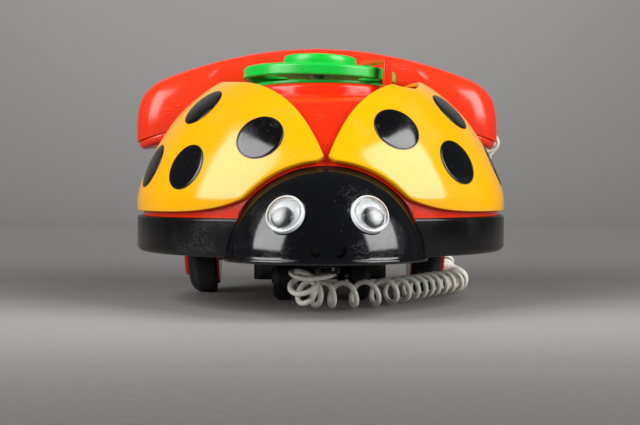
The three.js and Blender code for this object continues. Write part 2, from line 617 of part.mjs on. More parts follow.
function buildUnderside() {
  add(toy, 'underbody_box', underbodyBox(), 'black');
  add(toy, 'front_axle_bracket', frontBracket(), 'black');
  [-22, 22].forEach((x, i) => {
    add(toy, `box_screw_${i + 1}`, screwSolid(2.6, 1.3, 8), 'steel').position.set(x, 12, BOX.bottom + 0.7);
  });
  add(toy, 'bracket_screw', screwSolid(2.8, 1.3, 4), 'steel').position.set(0, FRONT.y, TRAY.bottom - 4.4);
  SCREWS.forEach(([x, y], i) => {
    const screw = add(toy, `base_screw_${i + 1}`, screwSolid(3.2, 1.2, 14), 'steel');
    screw.position.set(x, y, TRAY.bottom - 1.4 - GAP);
  });
  const eye = cut(box(-4.4, 4.4, -95, -91.5, 18.4, 21.7), box(-2.6, 2.6, -96, -90, 19.5, 20.8));
  add(toy, 'pull_cord_eye', eye, 'black');
}

function buildBell() {
  const shell = [[4.2, 8], [10, 7.6], [15, 5], [17, 0]];
  const inside = [[16, 0], [14, 4.2], [9.6, 6.6], [4.2, 7], [1.8, 7]];
  const gong = add(toy, 'gong', latheRing([[1.8, 8], ...shell, ...inside], 20), 'brass');
  gong.position.set(0, GONG_Y, 53.8);
  const screw = screwSolid(3.2, 1.3, 12);
  add(toy, 'gong_screw', screw, 'steel').position.set(0, GONG_Y, 59);
  const pivot = { y: 15, z: 31 };
  const arm = raise([[-1.6, -3.6], [1.6, -3.6], [1.6, 19], [-1.6, 19]], -1.5, 1.5);
  const upright = moved(moved(arm, { rx: 90 }), { rz: 90 });
  const tail = moved(box(-1.5, 1.5, 0, 16, -1.4, 1.4), { rx: -36 });
  const ball = toSolid(new THREE.SphereGeometry(3, 10, 7).translate(0, 0, 20.5));
  const clapper = groupAt(toy, 0, pivot.y, pivot.z);
  add(clapper, 'clapper', cut(join(upright, tail, ball), axleRod(1.2, 4)), 'steel');
  const bearing = (x) => cut(box(x - 1.2, x + 1.2, -3.5, 3.5, -5, 3), axleRod(1.2, 10));
  add(clapper, 'clapper_pin', axleRod(0.95, 6.4), 'steel');
  add(clapper, 'clapper_bearing_left', bearing(-5), 'black');
  add(clapper, 'clapper_bearing_right', bearing(5), 'black');
}

// ---------------------------------------------------------------- coiled cord
// The middle line of the coil: down from under the head, along the floor and round the right rear wheel,
// then up behind the body to the back of the handset's right pod.
const COIL_ROUTE = [[-8, -69, 17.5], [-9, -66.5, 12], [-8, -61.8, 8.8], [-3, -57, 7.6], [4.5, -52.5, 6.8],
  [12.5, -47, 6.4], [21.5, -40, 6.3], [31, -30.5, 6.3], [40.5, -17, 6.3], [49.5, -2.5, 6.3], [57.8, 8.8, 6.3],
  [64.4, 18, 6.3], [67.4, 30, 6.3], [67.6, 44, 6.3], [67.8, 60, 6.3], [68, 76, 7], [69.5, 89, 13.5],
  [73.5, 93.5, 26], [78.5, 94.5, 40], [84, 94, 54], [89, 91.5, 66], [91.6, 85, 73.2], [91.8, 76.2, 75]];
const BASE_LEAD = [[4, -64, 21.2], [4, -64.3, 19], [3.4, -67.4, 16.8], [1.2, -71.2, 15.6]];
const HANDSET_LEAD = [[87.7, 73.1, 79.5], [89.2, 74.4, 79.6], [90.6, 74.9, 79.8]];

function buildCord() {
  const at = (list) => list.map(([x, y, z]) => V3(x, y, z));
  const bush = lathe([[0, 0], [4.6, 0], [4.6, 1.4], [3, 1.4], [3, 4.2], [0, 4.2]], 16);
  const grommet = add(toy, 'base_cord_grommet', cut(bush, cylinder(1.3, -1, 3.4, 12)), 'cord');
  grommet.position.set(CORD.outX, CORD.outY, TRAY.bottom - 1.4 - GAP);
  add(toy, 'cord_coil', tube(at(COIL_ROUTE), CORD.coil / 2, 9, 40), 'cord');
  add(toy, 'cord_base_lead', tube(at(BASE_LEAD), CORD.wire / 2, 6, 6), 'cord');
  add(toy, 'cord_handset_lead', tube(at(HANDSET_LEAD), CORD.wire / 2, 6, 4), 'cord');
}

buildShells();
buildHead();
buildDial();
buildFingerStop();
buildHandset();
buildCradle();
buildWheels();
buildUnderside();
buildBell();
buildCord();

export default model;
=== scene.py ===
"""Ladybird-shaped pull-along toy telephone: fine surfaces, materials, curly cord, light and camera.

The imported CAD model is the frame: every piece here stands for CAD nodes or rides on one of its bodies.
Lengths in this file are millimetres until place() turns them into the frame's metres.
"""
import math

import bpy
import bmesh
from mathutils import Matrix, Vector


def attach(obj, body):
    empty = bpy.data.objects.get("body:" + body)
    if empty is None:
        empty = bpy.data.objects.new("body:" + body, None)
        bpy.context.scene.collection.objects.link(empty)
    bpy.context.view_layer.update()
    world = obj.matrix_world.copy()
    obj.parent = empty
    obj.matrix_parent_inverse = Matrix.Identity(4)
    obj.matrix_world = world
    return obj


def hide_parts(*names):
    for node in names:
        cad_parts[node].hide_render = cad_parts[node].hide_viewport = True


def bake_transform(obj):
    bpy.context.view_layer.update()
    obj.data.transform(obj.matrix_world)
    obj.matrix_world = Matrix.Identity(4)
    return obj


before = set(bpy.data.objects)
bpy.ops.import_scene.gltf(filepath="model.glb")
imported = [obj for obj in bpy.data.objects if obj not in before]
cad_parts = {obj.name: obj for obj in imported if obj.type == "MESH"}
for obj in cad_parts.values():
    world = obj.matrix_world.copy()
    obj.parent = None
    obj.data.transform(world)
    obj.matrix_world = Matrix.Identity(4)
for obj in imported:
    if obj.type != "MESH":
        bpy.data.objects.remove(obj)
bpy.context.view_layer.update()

# ---------- driving dimensions, as in the CAD
MM = 0.001
CENTRE = 8.7
GAP = 0.3
TRAY = dict(radius=83.2, bottom=23.2, top=38.8, wall=2.4, floor=2.5)
TURRET = dict(y=-8, radius=34, top=95.2, wall=2.5)
WING = dict(wall=2, gap=2, opening=44.5, apex=-76, rear=25, arch_high=20.8, arch_wide=28.8, foot=40.8,
            head_gap=2.7)
HEAD = dict(y=-64, z=22, a=41, b=36, c=39.8, wall=2.2)
NOSTRIL = dict(x=4.9, z=27, slant=0.5, tall=1.3, left=1.65, right=2.0)
EYE = dict(x=15.7, z=40.5, radius=7.5, cup=2.4, lens=6.8, dome=3.1, seat=1.0)
PUPIL = dict(radius=4.3, out=0.8, down=1.4)
DIAL = dict(x=-0.9, radius=34.2, bottom=98.4, top=103.6, skirt=1.8, web=2.2, holes=10, hole=5.2, pitch=24.8,
            lean=1.8, bore=3.4, plate=30, plate_top=96.8)
HUB = dict(radius=16.5, top=109.7)
HANDSET = dict(y=58, half=92, pod=75, radius=17, grip=11, tilt=15, low=74, cap=4.8)
SLEEVE = dict(turn=50, z=79.5)
REAR = dict(y=35, radius=17, tread=15, inner=46.2, axle=1.6, play=-2)
FRONT = dict(y=-6, radius=10.8, width=8.4, inner=13.2, axle=1.5)
WIRE = 2.2
COIL = 12
CORD_OUT = (4, -64)
WING_PROFILE = [(83.1, 40.8), (82.9, 48), (79.7, 58), (73.8, 70), (65.3, 82.5), (55.5, 92), (45.7, 98.5),
                (38, 100.5)]
BODY_PROFILE = [(80.4, 34), (80.4, 43), (79.4, 50), (76.2, 58.5), (70.3, 69), (61.9, 79.5), (51.5, 87),
                (42.6, 90.6), (30, 91)]
# The scoop in the right cover's inner edge: degrees round from the front, distance from the dome's axis.
SCOOP = [(33, 51.6), (36.4, 52.9), (41, 53.7), (46.8, 53.8), (49.5, 53.1), (54, 51.3), (59, 49.2), (62, 47)]
HANDSET_TOP = [(0, 121.9), (20, 120.8), (40.5, 117.5), (60, 112.6), (77.7, 106.2), (84.5, 102), (88.6, 97.5),
               (91, 91), (92, 83)]
SCREWS = [(-50, -32), (50, -32), (-27, 66), (27, 66)]

rad = math.radians


def place(p):
    return Vector((p[0], p[1] + CENTRE, p[2])) * MM


# ---------- camera
CAMERA = dict(away=504, z=50.7, pitch=1.28, turn=1.6, aside=0.035)


def camera():
    data = bpy.data.cameras.new("camera")
    data.sensor_width = 36
    data.lens = 61.6
    data.clip_start = 0.01
    cam = bpy.data.objects.new("camera", data)
    turn = rad(CAMERA["turn"])
    away = CAMERA["away"]
    cam.location = place((-away * math.sin(turn), -away * math.cos(turn), CAMERA["z"]))
    cam.rotation_euler = (rad(90 - CAMERA["pitch"]), 0, -turn + rad(CAMERA["aside"]))
    bpy.context.scene.collection.objects.link(cam)
    bpy.context.scene.camera = cam


camera()


# ---------- node materials
def rgb(hex_value):
    parts = [((hex_value >> s) & 255) / 255 for s in (16, 8, 0)]
    return [c / 12.92 if c <= 0.04045 else ((c + 0.055) / 1.055) ** 2.4 for c in parts]


class Nodes:
    """A small helper that adds nodes to one material and links them."""

    def __init__(self, name):
        self.material = bpy.data.materials.new(name)
        self.material.use_nodes = True
        self.tree = self.material.node_tree
        self.shader = self.tree.nodes["Principled BSDF"]
        self.coord = self.tree.nodes.new("ShaderNodeTexCoord").outputs["Object"]

    def link(self, a, b):
        self.tree.links.new(a, b)

    def math(self, operation, a, b=0.0, c=None):
        node = self.tree.nodes.new("ShaderNodeMath")
        node.operation = operation
        for socket, value in zip(node.inputs, (a, b) if c is None else (a, b, c)):
            if isinstance(value, bpy.types.NodeSocket):
                self.link(value, socket)
            else:
                socket.default_value = value
        return node.outputs[0]

    def stretched(self, scale, turn=(0, 0, 0)):
        node = self.tree.nodes.new("ShaderNodeMapping")
        node.inputs["Scale"].default_value = scale
        node.inputs["Rotation"].default_value = turn
        self.link(self.coord, node.inputs["Vector"])
        return node.outputs[0]

    def noise(self, scale, detail=3, vector=None, rough=0.5):
        node = self.tree.nodes.new("ShaderNodeTexNoise")
        node.inputs["Scale"].default_value = scale
        node.inputs["Detail"].default_value = detail
        node.inputs["Roughness"].default_value = rough
        self.link(vector or self.coord, node.inputs["Vector"])
        return node.outputs["Fac"]

    def ramp(self, value, low, high, out_low=0.0, out_high=1.0):
        node = self.tree.nodes.new("ShaderNodeMapRange")
        node.inputs["From Min"].default_value = low
        node.inputs["From Max"].default_value = high
        node.inputs["To Min"].default_value = out_low
        node.inputs["To Max"].default_value = out_high
        self.link(value, node.inputs["Value"])
        return node.outputs["Result"]

    def mix(self, factor, a, b):
        node = self.tree.nodes.new("ShaderNodeMix")
        node.data_type = "RGBA"
        for socket, value in ((node.inputs[0], factor), (node.inputs[6], a), (node.inputs[7], b)):
            if isinstance(value, bpy.types.NodeSocket):
                self.link(value, socket)
            else:
                socket.default_value = value if isinstance(value, float) else (*value[:3], 1)
        return node.outputs[2]

    def bump(self, height, distance, strength=1.0, under=None):
        node = self.tree.nodes.new("ShaderNodeBump")
        node.inputs["Strength"].default_value = strength
        node.inputs["Distance"].default_value = distance
        self.link(height, node.inputs["Height"])
        if under is not None:
            self.link(under, node.inputs["Normal"])
        return node.outputs["Normal"]

    def scratches(self, amount):
        """Hairline straight marks in several directions, in patches, from 0 to 1."""
        total = None
        for turn in (0.3, 1.25, 2.1, 2.8):
            vector = self.stretched((30, 1900, 1700), (turn, turn * 1.7, turn * 0.6))
            lines = self.ramp(self.noise(2.0, 0, vector), 0.74 - 0.05 * amount, 0.78 - 0.05 * amount)
            total = lines if total is None else self.math("MAXIMUM", total, lines)
        return self.math("MULTIPLY", total, self.ramp(self.noise(60), 0.5, 0.66))


def plastic(name, colour, rough=0.2, shade=None, wear=0.3, speck=0.0, peel=0.25, ior=1.5, dust=0.0):
    """Moulded plastic: uneven colour, hairline scratches, dust and a faint waviness."""
    n = Nodes(name)
    base = rgb(colour)
    dark = rgb(shade) if shade is not None else [c * 0.82 for c in base]
    cloud = n.ramp(n.noise(14, 4), 0.3, 0.72)
    tone = n.mix(cloud, dark, base)
    marks = n.scratches(wear)
    pale = [c * 0.55 + 0.3 for c in base]
    tone = n.mix(n.math("MULTIPLY", marks, 0.35 * wear), tone, pale)
    if speck:
        dots = n.ramp(n.noise(900, 2), 0.7, 0.78)
        tone = n.mix(n.math("MULTIPLY", dots, speck), tone, rgb(0xB8B2A8))
    if dust:
        film = n.ramp(n.noise(40, 5), 0.42, 0.75)
        tone = n.mix(n.math("MULTIPLY", film, dust), tone, rgb(0x8E8A86))
    n.link(tone, n.shader.inputs["Base Color"])
    soft = n.ramp(n.noise(55, 4), 0.3, 0.75, rough * 0.75, rough * 1.3)
    n.link(n.math("ADD", soft, n.math("MULTIPLY", marks, 0.18 * wear)), n.shader.inputs["Roughness"])
    wave = n.bump(n.noise(120, 2), 0.00006, peel)
    n.link(n.bump(marks, 0.00005, 0.5, wave), n.shader.inputs["Normal"])
    n.shader.inputs["IOR"].default_value = ior
    return n.material


def metal(name, colour, rough=0.3):
    n = Nodes(name)
    base = rgb(colour)
    grain = n.noise(220, 3, n.stretched((1, 8, 1)))
    n.link(n.mix(n.ramp(grain, 0.3, 0.7), [c * 0.7 for c in base], base), n.shader.inputs["Base Color"])
    n.link(n.ramp(n.noise(90), 0.3, 0.7, rough * 0.7, rough * 1.4), n.shader.inputs["Roughness"])
    n.link(n.bump(grain, 0.00004, 0.3), n.shader.inputs["Normal"])
    n.shader.inputs["Metallic"].default_value = 1.0
    return n.material


def clear(name):
    n = Nodes(name)
    n.shader.inputs["Base Color"].default_value = (1, 1, 1, 1)
    n.shader.inputs["Transmission Weight"].default_value = 1.0
    n.shader.inputs["IOR"].default_value = 1.46
    haze = n.ramp(n.noise(260, 3), 0.4, 0.8, 0.18, 0.26)
    n.link(haze, n.shader.inputs["Roughness"])
    return n.material


MAT = dict(
    yellow=plastic("yellow_plastic", 0xFDB600, 0.13, 0xF6AC00, wear=0.3, peel=0.2),
    red=plastic("red_plastic", 0xEC3006, 0.2, 0xE42C05, wear=0.3),
    handset=plastic("red_handset_plastic", 0xEE3818, 0.2, 0xE63416, wear=0.3),
    green=plastic("green_plastic", 0x14D244, 0.26, 0x10C43E, wear=0.3),
    black=plastic("black_gloss_plastic", 0x08080A, 0.1, 0x050506, wear=0.14, speck=0.09, peel=0.3, ior=1.56),
    satin=plastic("black_satin_plastic", 0x070608, 0.2, 0x050405, wear=0.3, speck=0.05, dust=0.01, ior=1.4),
    spot=plastic("spot_black", 0x050506, 0.1, 0x040404, wear=0.2, speck=0.12, peel=0.3, ior=1.55),
    spot_rim=plastic("spot_rim", 0x2A2410, 0.3, 0x1C180C, wear=0.2),
    white=plastic("white_plastic", 0xEEF2F4, 0.3, 0xE4E8EA, wear=0.1),
    pupil=plastic("pupil_black", 0x0E0E12, 0.3, 0x0A0A0C, wear=0.1, peel=0.1, ior=2.0),
    tyre=plastic("tyre_rubber", 0x0C0C0E, 0.55, 0x080809, wear=0.2, speck=0.1, dust=0.06, peel=0.6),
    cord=plastic("cord_vinyl", 0xF2F0E4, 0.36, 0xE6E3D6, wear=0.1, peel=0.3, dust=0.02),
    digits=plastic("digit_print", 0xF6F3E6, 0.4, 0xEAE6D6, wear=0.1),
    steel=metal("steel", 0xC8CACD, 0.3),
    brass=metal("brass", 0xC9A24A, 0.28),
    clear=clear("clear_dome_plastic"),
)


# ---------- mesh tools
def build(name, verts, faces, look, body=None, replaces=(), angle=35):
    """A smoothed mesh in the frame's metres, with its material, riding on a body."""
    mesh = bpy.data.meshes.new(name)
    mesh.from_pydata([tuple(v) for v in verts], [], faces)
    tidy(mesh, angle)
    obj = bpy.data.objects.new(name, mesh)
    bpy.context.scene.collection.objects.link(obj)
    return dress(obj, look, body, replaces)


def dress(obj, look, body=None, replaces=()):
    obj.data.materials.clear()
    obj.data.materials.append(MAT[look])
    if body:
        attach(obj, body)
    if replaces:
        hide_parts(*replaces)
    return obj


def tidy(mesh, angle=35):
    bm = bmesh.new()
    bm.from_mesh(mesh)
    bmesh.ops.remove_doubles(bm, verts=bm.verts, dist=1e-6)
    bmesh.ops.recalc_face_normals(bm, faces=bm.faces)
    bm.to_mesh(mesh)
    bm.free()
    mesh.shade_smooth()
    mesh.set_sharp_from_angle(angle=rad(angle))


def evaluated(obj):
    """A new mesh of obj as its modifiers leave it."""
    bpy.context.view_layer.update()
    graph = bpy.context.evaluated_depsgraph_get()
    return bpy.data.meshes.new_from_object(obj.evaluated_get(graph))


def apply_all(obj, angle=35):
    """Turns the modifiers of obj into its mesh."""
    mesh = evaluated(obj)
    obj.modifiers.clear()
    obj.data = mesh
    mesh.shade_smooth()
    mesh.set_sharp_from_angle(angle=rad(angle))
    return obj


def cut(obj, *tools, operation="DIFFERENCE", angle=35):
    for tool in tools:
        modifier = obj.modifiers.new("cut", "BOOLEAN")
        modifier.operation = operation
        modifier.object = tool
        modifier.solver = "EXACT"
        apply_all(obj, angle)
        bpy.data.objects.remove(tool)
    return obj


def bevel(obj, width, segments=3, angle=40):
    modifier = obj.modifiers.new("bevel", "BEVEL")
    modifier.width = width * MM
    modifier.segments = segments
    modifier.limit_method = "ANGLE"
    modifier.angle_limit = rad(angle)
    weighted = obj.modifiers.new("weighted", "WEIGHTED_NORMAL")
    weighted.keep_sharp = True
    return apply_all(obj, 50)


def grid_faces(rows, columns, close_rows=False, close_columns=False, start=0):
    faces = []
    for i in range(rows if close_rows else rows - 1):
        for k in range(columns if close_columns else columns - 1):
            a = start + i * columns + k
            b = start + i * columns + (k + 1) % columns
            c = start + ((i + 1) % rows) * columns + (k + 1) % columns
            d = start + ((i + 1) % rows) * columns + k
            faces.append((a, b, c, d))
    return faces


def spline(points, count):
    """A smooth line through (x, y) points, evenly spread by the points' order."""
    out = []
    last = len(points) - 1
    for i in range(count + 1):
        t = i * last / count
        k = min(int(t), last - 1)
        u = t - k
        p = [points[min(max(k + d, 0), last)] for d in (-1, 0, 1, 2)]
        out.append(tuple(
            0.5 * (2 * p[1][a] + (p[2][a] - p[0][a]) * u
                   + (2 * p[0][a] - 5 * p[1][a] + 4 * p[2][a] - p[3][a]) * u * u
                   + (3 * p[1][a] - p[0][a] - 3 * p[2][a] + p[3][a]) * u ** 3)
            for a in range(len(points[0]))))
    return out


def rounded(profile, radius, steps=4, closed=False):
    """A polyline with its corners rounded by about that radius."""
    out = []
    n = len(profile)
    for i, p in enumerate(profile):
        if not closed and i in (0, n - 1):
            out.append(p)
            continue
        a, b = profile[i - 1], profile[(i + 1) % n]
        la, lb = math.dist(a, p), math.dist(b, p)
        if la < 1e-6 or lb < 1e-6:
            continue
        r = min(radius, la * 0.45, lb * 0.45)
        s = [p[k] + (a[k] - p[k]) * r / la for k in (0, 1)]
        e = [p[k] + (b[k] - p[k]) * r / lb for k in (0, 1)]
        for j in range(steps + 1):
            t = j / steps
            out.append(tuple((1 - t) ** 2 * s[k] + 2 * t * (1 - t) * p[k] + t * t * e[k] for k in (0, 1)))
    return out


def lathe(name, profile, look, body=None, replaces=(), centre=(0, 0, 0), turn=None, segments=96,
          round_by=0.0, closed=False):
    """A (radius, height) profile turned about an axis through centre. turn is a rotation put on it first."""
    if round_by:
        profile = rounded(profile, round_by, closed=closed)
    matrix = turn or Matrix.Identity(3)
    verts, rings = [], []
    for r, z in profile:
        if r < 1e-6:
            rings.append([len(verts)])
            verts.append(Vector((0, 0, z)))
            continue
        rings.append(list(range(len(verts), len(verts) + segments)))
        around = [2 * math.pi * k / segments for k in range(segments)]
        verts += [Vector((r * math.cos(a), r * math.sin(a), z)) for a in around]
    faces = []
    pairs = list(zip(rings, rings[1:])) + ([(rings[-1], rings[0])] if closed else [])
    for low, high in pairs:
        for k in range(segments):
            a, b = low[k % len(low)], low[(k + 1) % len(low)]
            c, d = high[(k + 1) % len(high)], high[k % len(high)]
            ring = [v for i, v in enumerate((a, b, c, d)) if v not in (a, b, c, d)[:i]]
            if len(ring) > 2:
                faces.append(ring)
    points = [place(matrix @ v + Vector(centre)) for v in verts]
    return build(name, points, faces, look, body, replaces)


def tool_box(x0, x1, y0, y1, z0, z1, turn=None, centre=(0, 0, 0)):
    matrix = turn or Matrix.Identity(3)
    corners = [Vector((x, y, z)) for x in (x0, x1) for y in (y0, y1) for z in (z0, z1)]
    points = [place(matrix @ c + Vector(centre)) for c in corners]
    faces = [(0, 1, 3, 2), (4, 6, 7, 5), (0, 4, 5, 1), (2, 3, 7, 6), (0, 2, 6, 4), (1, 5, 7, 3)]
    return build("tool", points, faces, "satin")


def tool_cylinder(radius, z0, z1, centre=(0, 0, 0), turn=None, segments=40):
    return lathe("tool", [(0, z0), (radius, z0), (radius, z1), (0, z1)], "satin", centre=centre, turn=turn,
                 segments=segments)


def refined(node, look, body, width=0.35):
    """A CAD node's own shape with its flat facets merged and its edges rounded."""
    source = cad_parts[node]
    mesh = source.data.copy()
    bm = bmesh.new()
    bm.from_mesh(mesh)
    bmesh.ops.remove_doubles(bm, verts=bm.verts, dist=2e-6)
    bmesh.ops.dissolve_limit(bm, angle_limit=rad(1.0), verts=bm.verts, edges=bm.edges)
    bm.to_mesh(mesh)
    bm.free()
    obj = bpy.data.objects.new(node + "_fine", mesh)
    bpy.context.scene.collection.objects.link(obj)
    bevel(obj, width)
    return dress(obj, look, body, (node,))


AXLE = Matrix.Rotation(math.pi / 2, 3, "Y")  # turns Z to X


# ---------- body: tray, dome, turret, wings
def offset(profile, d):
    out = []
    for i, p in enumerate(profile):
        a, b = profile[max(0, i - 1)], profile[min(len(profile) - 1, i + 1)]
        long = math.dist(a, b)
        out.append((p[0] + d * (b[1] - a[1]) / long, p[1] - d * (b[0] - a[0]) / long))
    return out


def make_tray():
    r, z0, z1, w, f = (TRAY[k] for k in ("radius", "bottom", "top", "wall", "floor"))
    profile = [(0, z0), (r - 1.5, z0), (r, z0 + 1.5), (r, z1 - 0.7), (r - 0.7, z1), (r - w, z1),
               (r - w, z0 + f), (0, z0 + f)]
    tray = lathe("base_tray_fine", profile, "satin", segments=192, round_by=0.6)
    tools = []
    for side in (-1, 1):
        ends = sorted((side * (REAR["inner"] - 3.6), side * 66.5))
        well = tool_box(*ends, REAR["y"] - 18.6, REAR["y"] + 18.6, 20, 30)
        tools.append(cut(well, tool_cylinder(r - w - 0.8, 15, 35, segments=96), operation="INTERSECT"))
    tools += [tool_box(-14, 14, 21, 44, 20, 30), tool_box(-2.8, 2.8, 13, 24, 20, 30),
              tool_cylinder(3.4, 20, 30, (*CORD_OUT, 0))]
    tools += [tool_cylinder(1.8, 20, 30, (x, y, 0), segments=20) for x, y in SCREWS]
    cut(tray, *tools)
    dress(tray, "satin", "toy_body", ("base_tray",))


def make_dome():
    outside = spline(BODY_PROFILE, 60)
    inside = offset(outside, -2.4)[::-1]
    crown = [(0, 91), (0, inside[0][1])]
    dome = lathe("body_dome", outside + crown + inside, "red", "toy_body", ("body_shell",), segments=192,
                 closed=True)
    t = TURRET
    # the dome is open under the turret, where the dial's works are
    cut(dome, tool_cylinder(t["radius"] - 1.2, 70, 100, (0, t["y"], 0), segments=160))
    dress(dome, "red")
    r, top, wall = t["radius"], t["top"], t["wall"]
    profile = [(r, 78), (r, top - 1.3), (r - 1.3, top), (1, top), (1, top - wall), (r - wall, top - wall),
               (r - wall, 78)]
    turret = lathe("body_turret", profile, "red", "toy_body", centre=(0, t["y"], 0), segments=160,
                   closed=True, round_by=0.7)
    cut(turret, tool_cylinder(DIAL["bore"], 80, 100, (DIAL["x"], t["y"], 0)))
    dress(turret, "red")


def opening_radius(phi, side):
    """How far from the dome's axis the wing covers' inner edge is, along the ray at phi from the front."""
    direction = Vector((math.sin(phi), -math.cos(phi)))
    y0, reach = TURRET["y"], WING["opening"]
    along = direction.y * y0
    found = along + math.sqrt(along * along - y0 * y0 + reach * reach)
    # the vee to the front: a line from the apex that touches the round part
    lean = math.asin(reach / (y0 - WING["apex"]))
    touch = Vector((reach * math.cos(lean), y0 - reach * math.sin(lean)))
    if phi < touch_angle(touch):
        found = ray_to_line(direction, Vector((WING["gap"] / 2, WING["apex"] - 1)), touch)
    # the slot to the rear
    shoulder = Vector((reach * math.cos(rad(10)), y0 + reach * math.sin(rad(10))))
    if phi > touch_angle(shoulder):
        found = ray_to_line(direction, shoulder, Vector((WING["rear"], 90))) or 1000
    if side > 0 and rad(SCOOP[0][0]) < phi < rad(SCOOP[-1][0]):
        k = next(k for k in range(len(SCOOP) - 1) if math.degrees(phi) <= SCOOP[k + 1][0])
        (a0, r0), (a1, r1) = SCOOP[k], SCOOP[k + 1]
        found = max(found, r0 + (r1 - r0) * (math.degrees(phi) - a0) / (a1 - a0))
    return found


def touch_angle(p):
    return math.atan2(p.x, -p.y)


def ray_to_line(direction, p, q):
    d = q - p
    cross = direction.x * d.y - direction.y * d.x
    return (p.x * d.y - p.y * d.x) / cross if abs(cross) > 1e-9 else None


def head_reach(x, z):
    """How far forward of the dome's axis the head's outside is at x, z: 0 where the head isn't."""
    gap = WING["head_gap"]
    inside = 1 - (x / (HEAD["a"] + gap)) ** 2 - ((z - HEAD["z"]) / (HEAD["c"] + gap)) ** 2
    return -HEAD["y"] + (HEAD["b"] + gap) * math.sqrt(inside) if inside > 0 else 0.0


WING_LINE = spline(WING_PROFILE, 120)


def wing_point(s):
    """(radius, height) at a share s of the profile."""
    t = min(max(s, 0), 1) * (len(WING_LINE) - 1)
    k = min(int(t), len(WING_LINE) - 2)
    u = t - k
    return tuple(WING_LINE[k][a] * (1 - u) + WING_LINE[k + 1][a] * u for a in (0, 1))


def wing_limits(phi, side):
    """The lowest and highest share of the profile that the cover has at phi, or None."""
    opening = opening_radius(phi, side)

    def covered(s):
        r, z = wing_point(s)
        x, front = r * math.sin(phi), r * math.cos(phi)
        arch = WING["foot"] + WING["arch_high"] * math.exp(-((x / WING["arch_wide"]) ** 2)) * (front > 0)
        return z >= arch - 1e-6 and r >= opening and not (front > 0 and head_reach(x, z) > front)

    def edge(bare, full):
        for _ in range(12):
            middle = (bare + full) / 2
            bare, full = (bare, middle) if covered(middle) else (middle, full)
        return full

    steps = 160
    inside = [i for i in range(steps + 1) if covered(i / steps)]
    if not inside:
        return None
    low, high = inside[0], inside[-1]
    return (edge((low - 1) / steps, low / steps) if low else 0.0,
            edge((high + 1) / steps, high / steps) if high < steps else 1.0)


def wing_normal(s):
    (r0, z0), (r1, z1) = wing_point(s - 0.01), wing_point(s + 0.01)
    long = math.dist((r0, z0), (r1, z1))
    return (z1 - z0) / long, -(r1 - r0) / long


def smooth_row(values, passes=2):
    for _ in range(passes):
        values = [values[0]] + [(values[i - 1] + 2 * values[i] + values[i + 1]) / 4
                                for i in range(1, len(values) - 1)] + [values[-1]]
    return values


def make_wing(side):
    """One wing cover as a closed shell with rounded edges; side is +1 for the one at +X."""
    wall, edge, nose = WING["wall"], 0.8, 3.2
    phis, lows, highs = [], [], []
    start, end = rad(0.75), rad(163)
    count = 320
    for i in range(count + 1):
        phi = start + (end - start) * (i / count) ** 1.4
        limits = wing_limits(phi, side)
        if limits:
            phis.append(phi)
            lows.append(limits[0])
            highs.append(limits[1])
    lows, highs = smooth_row(lows, 3), smooth_row(highs, 3)
    # share along the column, and depth below the outside
    roll = [(math.cos(a), 1 - math.sin(a)) for a in (0, 0.35, 0.75, 1.15, math.pi / 2)]
    rows = 26
    points = []
    for phi, low, high in zip(phis, lows, highs):
        from_tip = (phi - phis[0]) * WING_PROFILE[2][0]
        if from_tip < nose:  # the inner tip is rounded
            keep = math.sqrt(max(0.004, 1 - (1 - from_tip / nose) ** 2))
            middle = 0.3 * low + 0.7 * high
            low, high = middle - (middle - low) * keep, middle + (high - middle) * keep
        along = [wing_point(low + (high - low) * k / 8) for k in range(9)]
        long = sum(math.dist(p, q) for p, q in zip(along, along[1:]))
        e = min(edge, 0.4 * long)
        per = (high - low) / max(long, 1e-6)
        column = [(low + e * (1 - c) * per, e * d) for c, d in roll]
        column += [(low + e * per + (high - low - 2 * e * per) * k / rows, 0) for k in range(1, rows)]
        column += [(high - e * (1 - c) * per, e * d) for c, d in reversed(roll)]
        column += [(high, wall), *[(high + (low - high) * k / 8, wall) for k in range(1, 8)], (low, wall)]
        for s, depth in column:
            r, z = wing_point(s)
            nr, nz = wing_normal(s)
            r, z = r - depth * nr, z - depth * nz
            points.append(place((side * r * math.sin(phi), -r * math.cos(phi), z)))
    width = len(points) // len(phis)
    faces = grid_faces(len(phis), width, close_columns=True)
    faces += [tuple(range(width)), tuple(range(len(points) - width, len(points)))]
    name = "right_wing" if side > 0 else "left_wing"
    build(name + "_fine", points, faces, "yellow", "toy_body", (name,), angle=50)


# Where the spots' middles are: degrees round from the front, and height.
SPOTS = {-1: [(21, 71), (46, 59.5), (55, 85.5), (69.5, 60.5), (112, 60.5), (124, 85.5), (136, 59.5),
              (147.5, 73)],
         1: [(24, 74.5), (44.5, 61.5), (59.5, 84), (78, 61), (106, 61), (121, 84), (135.5, 61.5),
             (147.5, 74)]}
SPOT_SIDES = 56
SPOT_RADIUS = 9.6


def spot_points(side, phi0, z0, radius, lift, rings):
    s0 = min(range(1001), key=lambda i: abs(wing_point(i / 1000)[1] - z0)) / 1000
    run = [0.0]
    for p, q in zip(WING_LINE, WING_LINE[1:]):
        run.append(run[-1] + math.dist(p, q))
    index = s0 * (len(WING_LINE) - 1)
    k0 = min(int(index), len(WING_LINE) - 2)
    along0 = run[k0] + (run[k0 + 1] - run[k0]) * (index - k0)
    r0 = wing_point(s0)[0]
    points = []
    for ring in rings:
        for j in range(SPOT_SIDES):
            a = 2 * math.pi * j / SPOT_SIDES
            rho = radius * ring[0]
            up, across = rho * math.sin(a), rho * math.cos(a)
            want = along0 + up
            k = next((i for i in range(len(run) - 1) if run[i + 1] >= want), 0)
            s = (k + (want - run[k]) / (run[k + 1] - run[k])) / (len(WING_LINE) - 1)
            r, z = wing_point(s)
            nr, nz = wing_normal(s)
            phi = rad(phi0) + across / ((r + r0) / 2)
            r, z = r + (lift * ring[1]) * nr, z + (lift * ring[1]) * nz
            points.append(place((side * r * math.sin(phi), -r * math.cos(phi), z)))
    return points


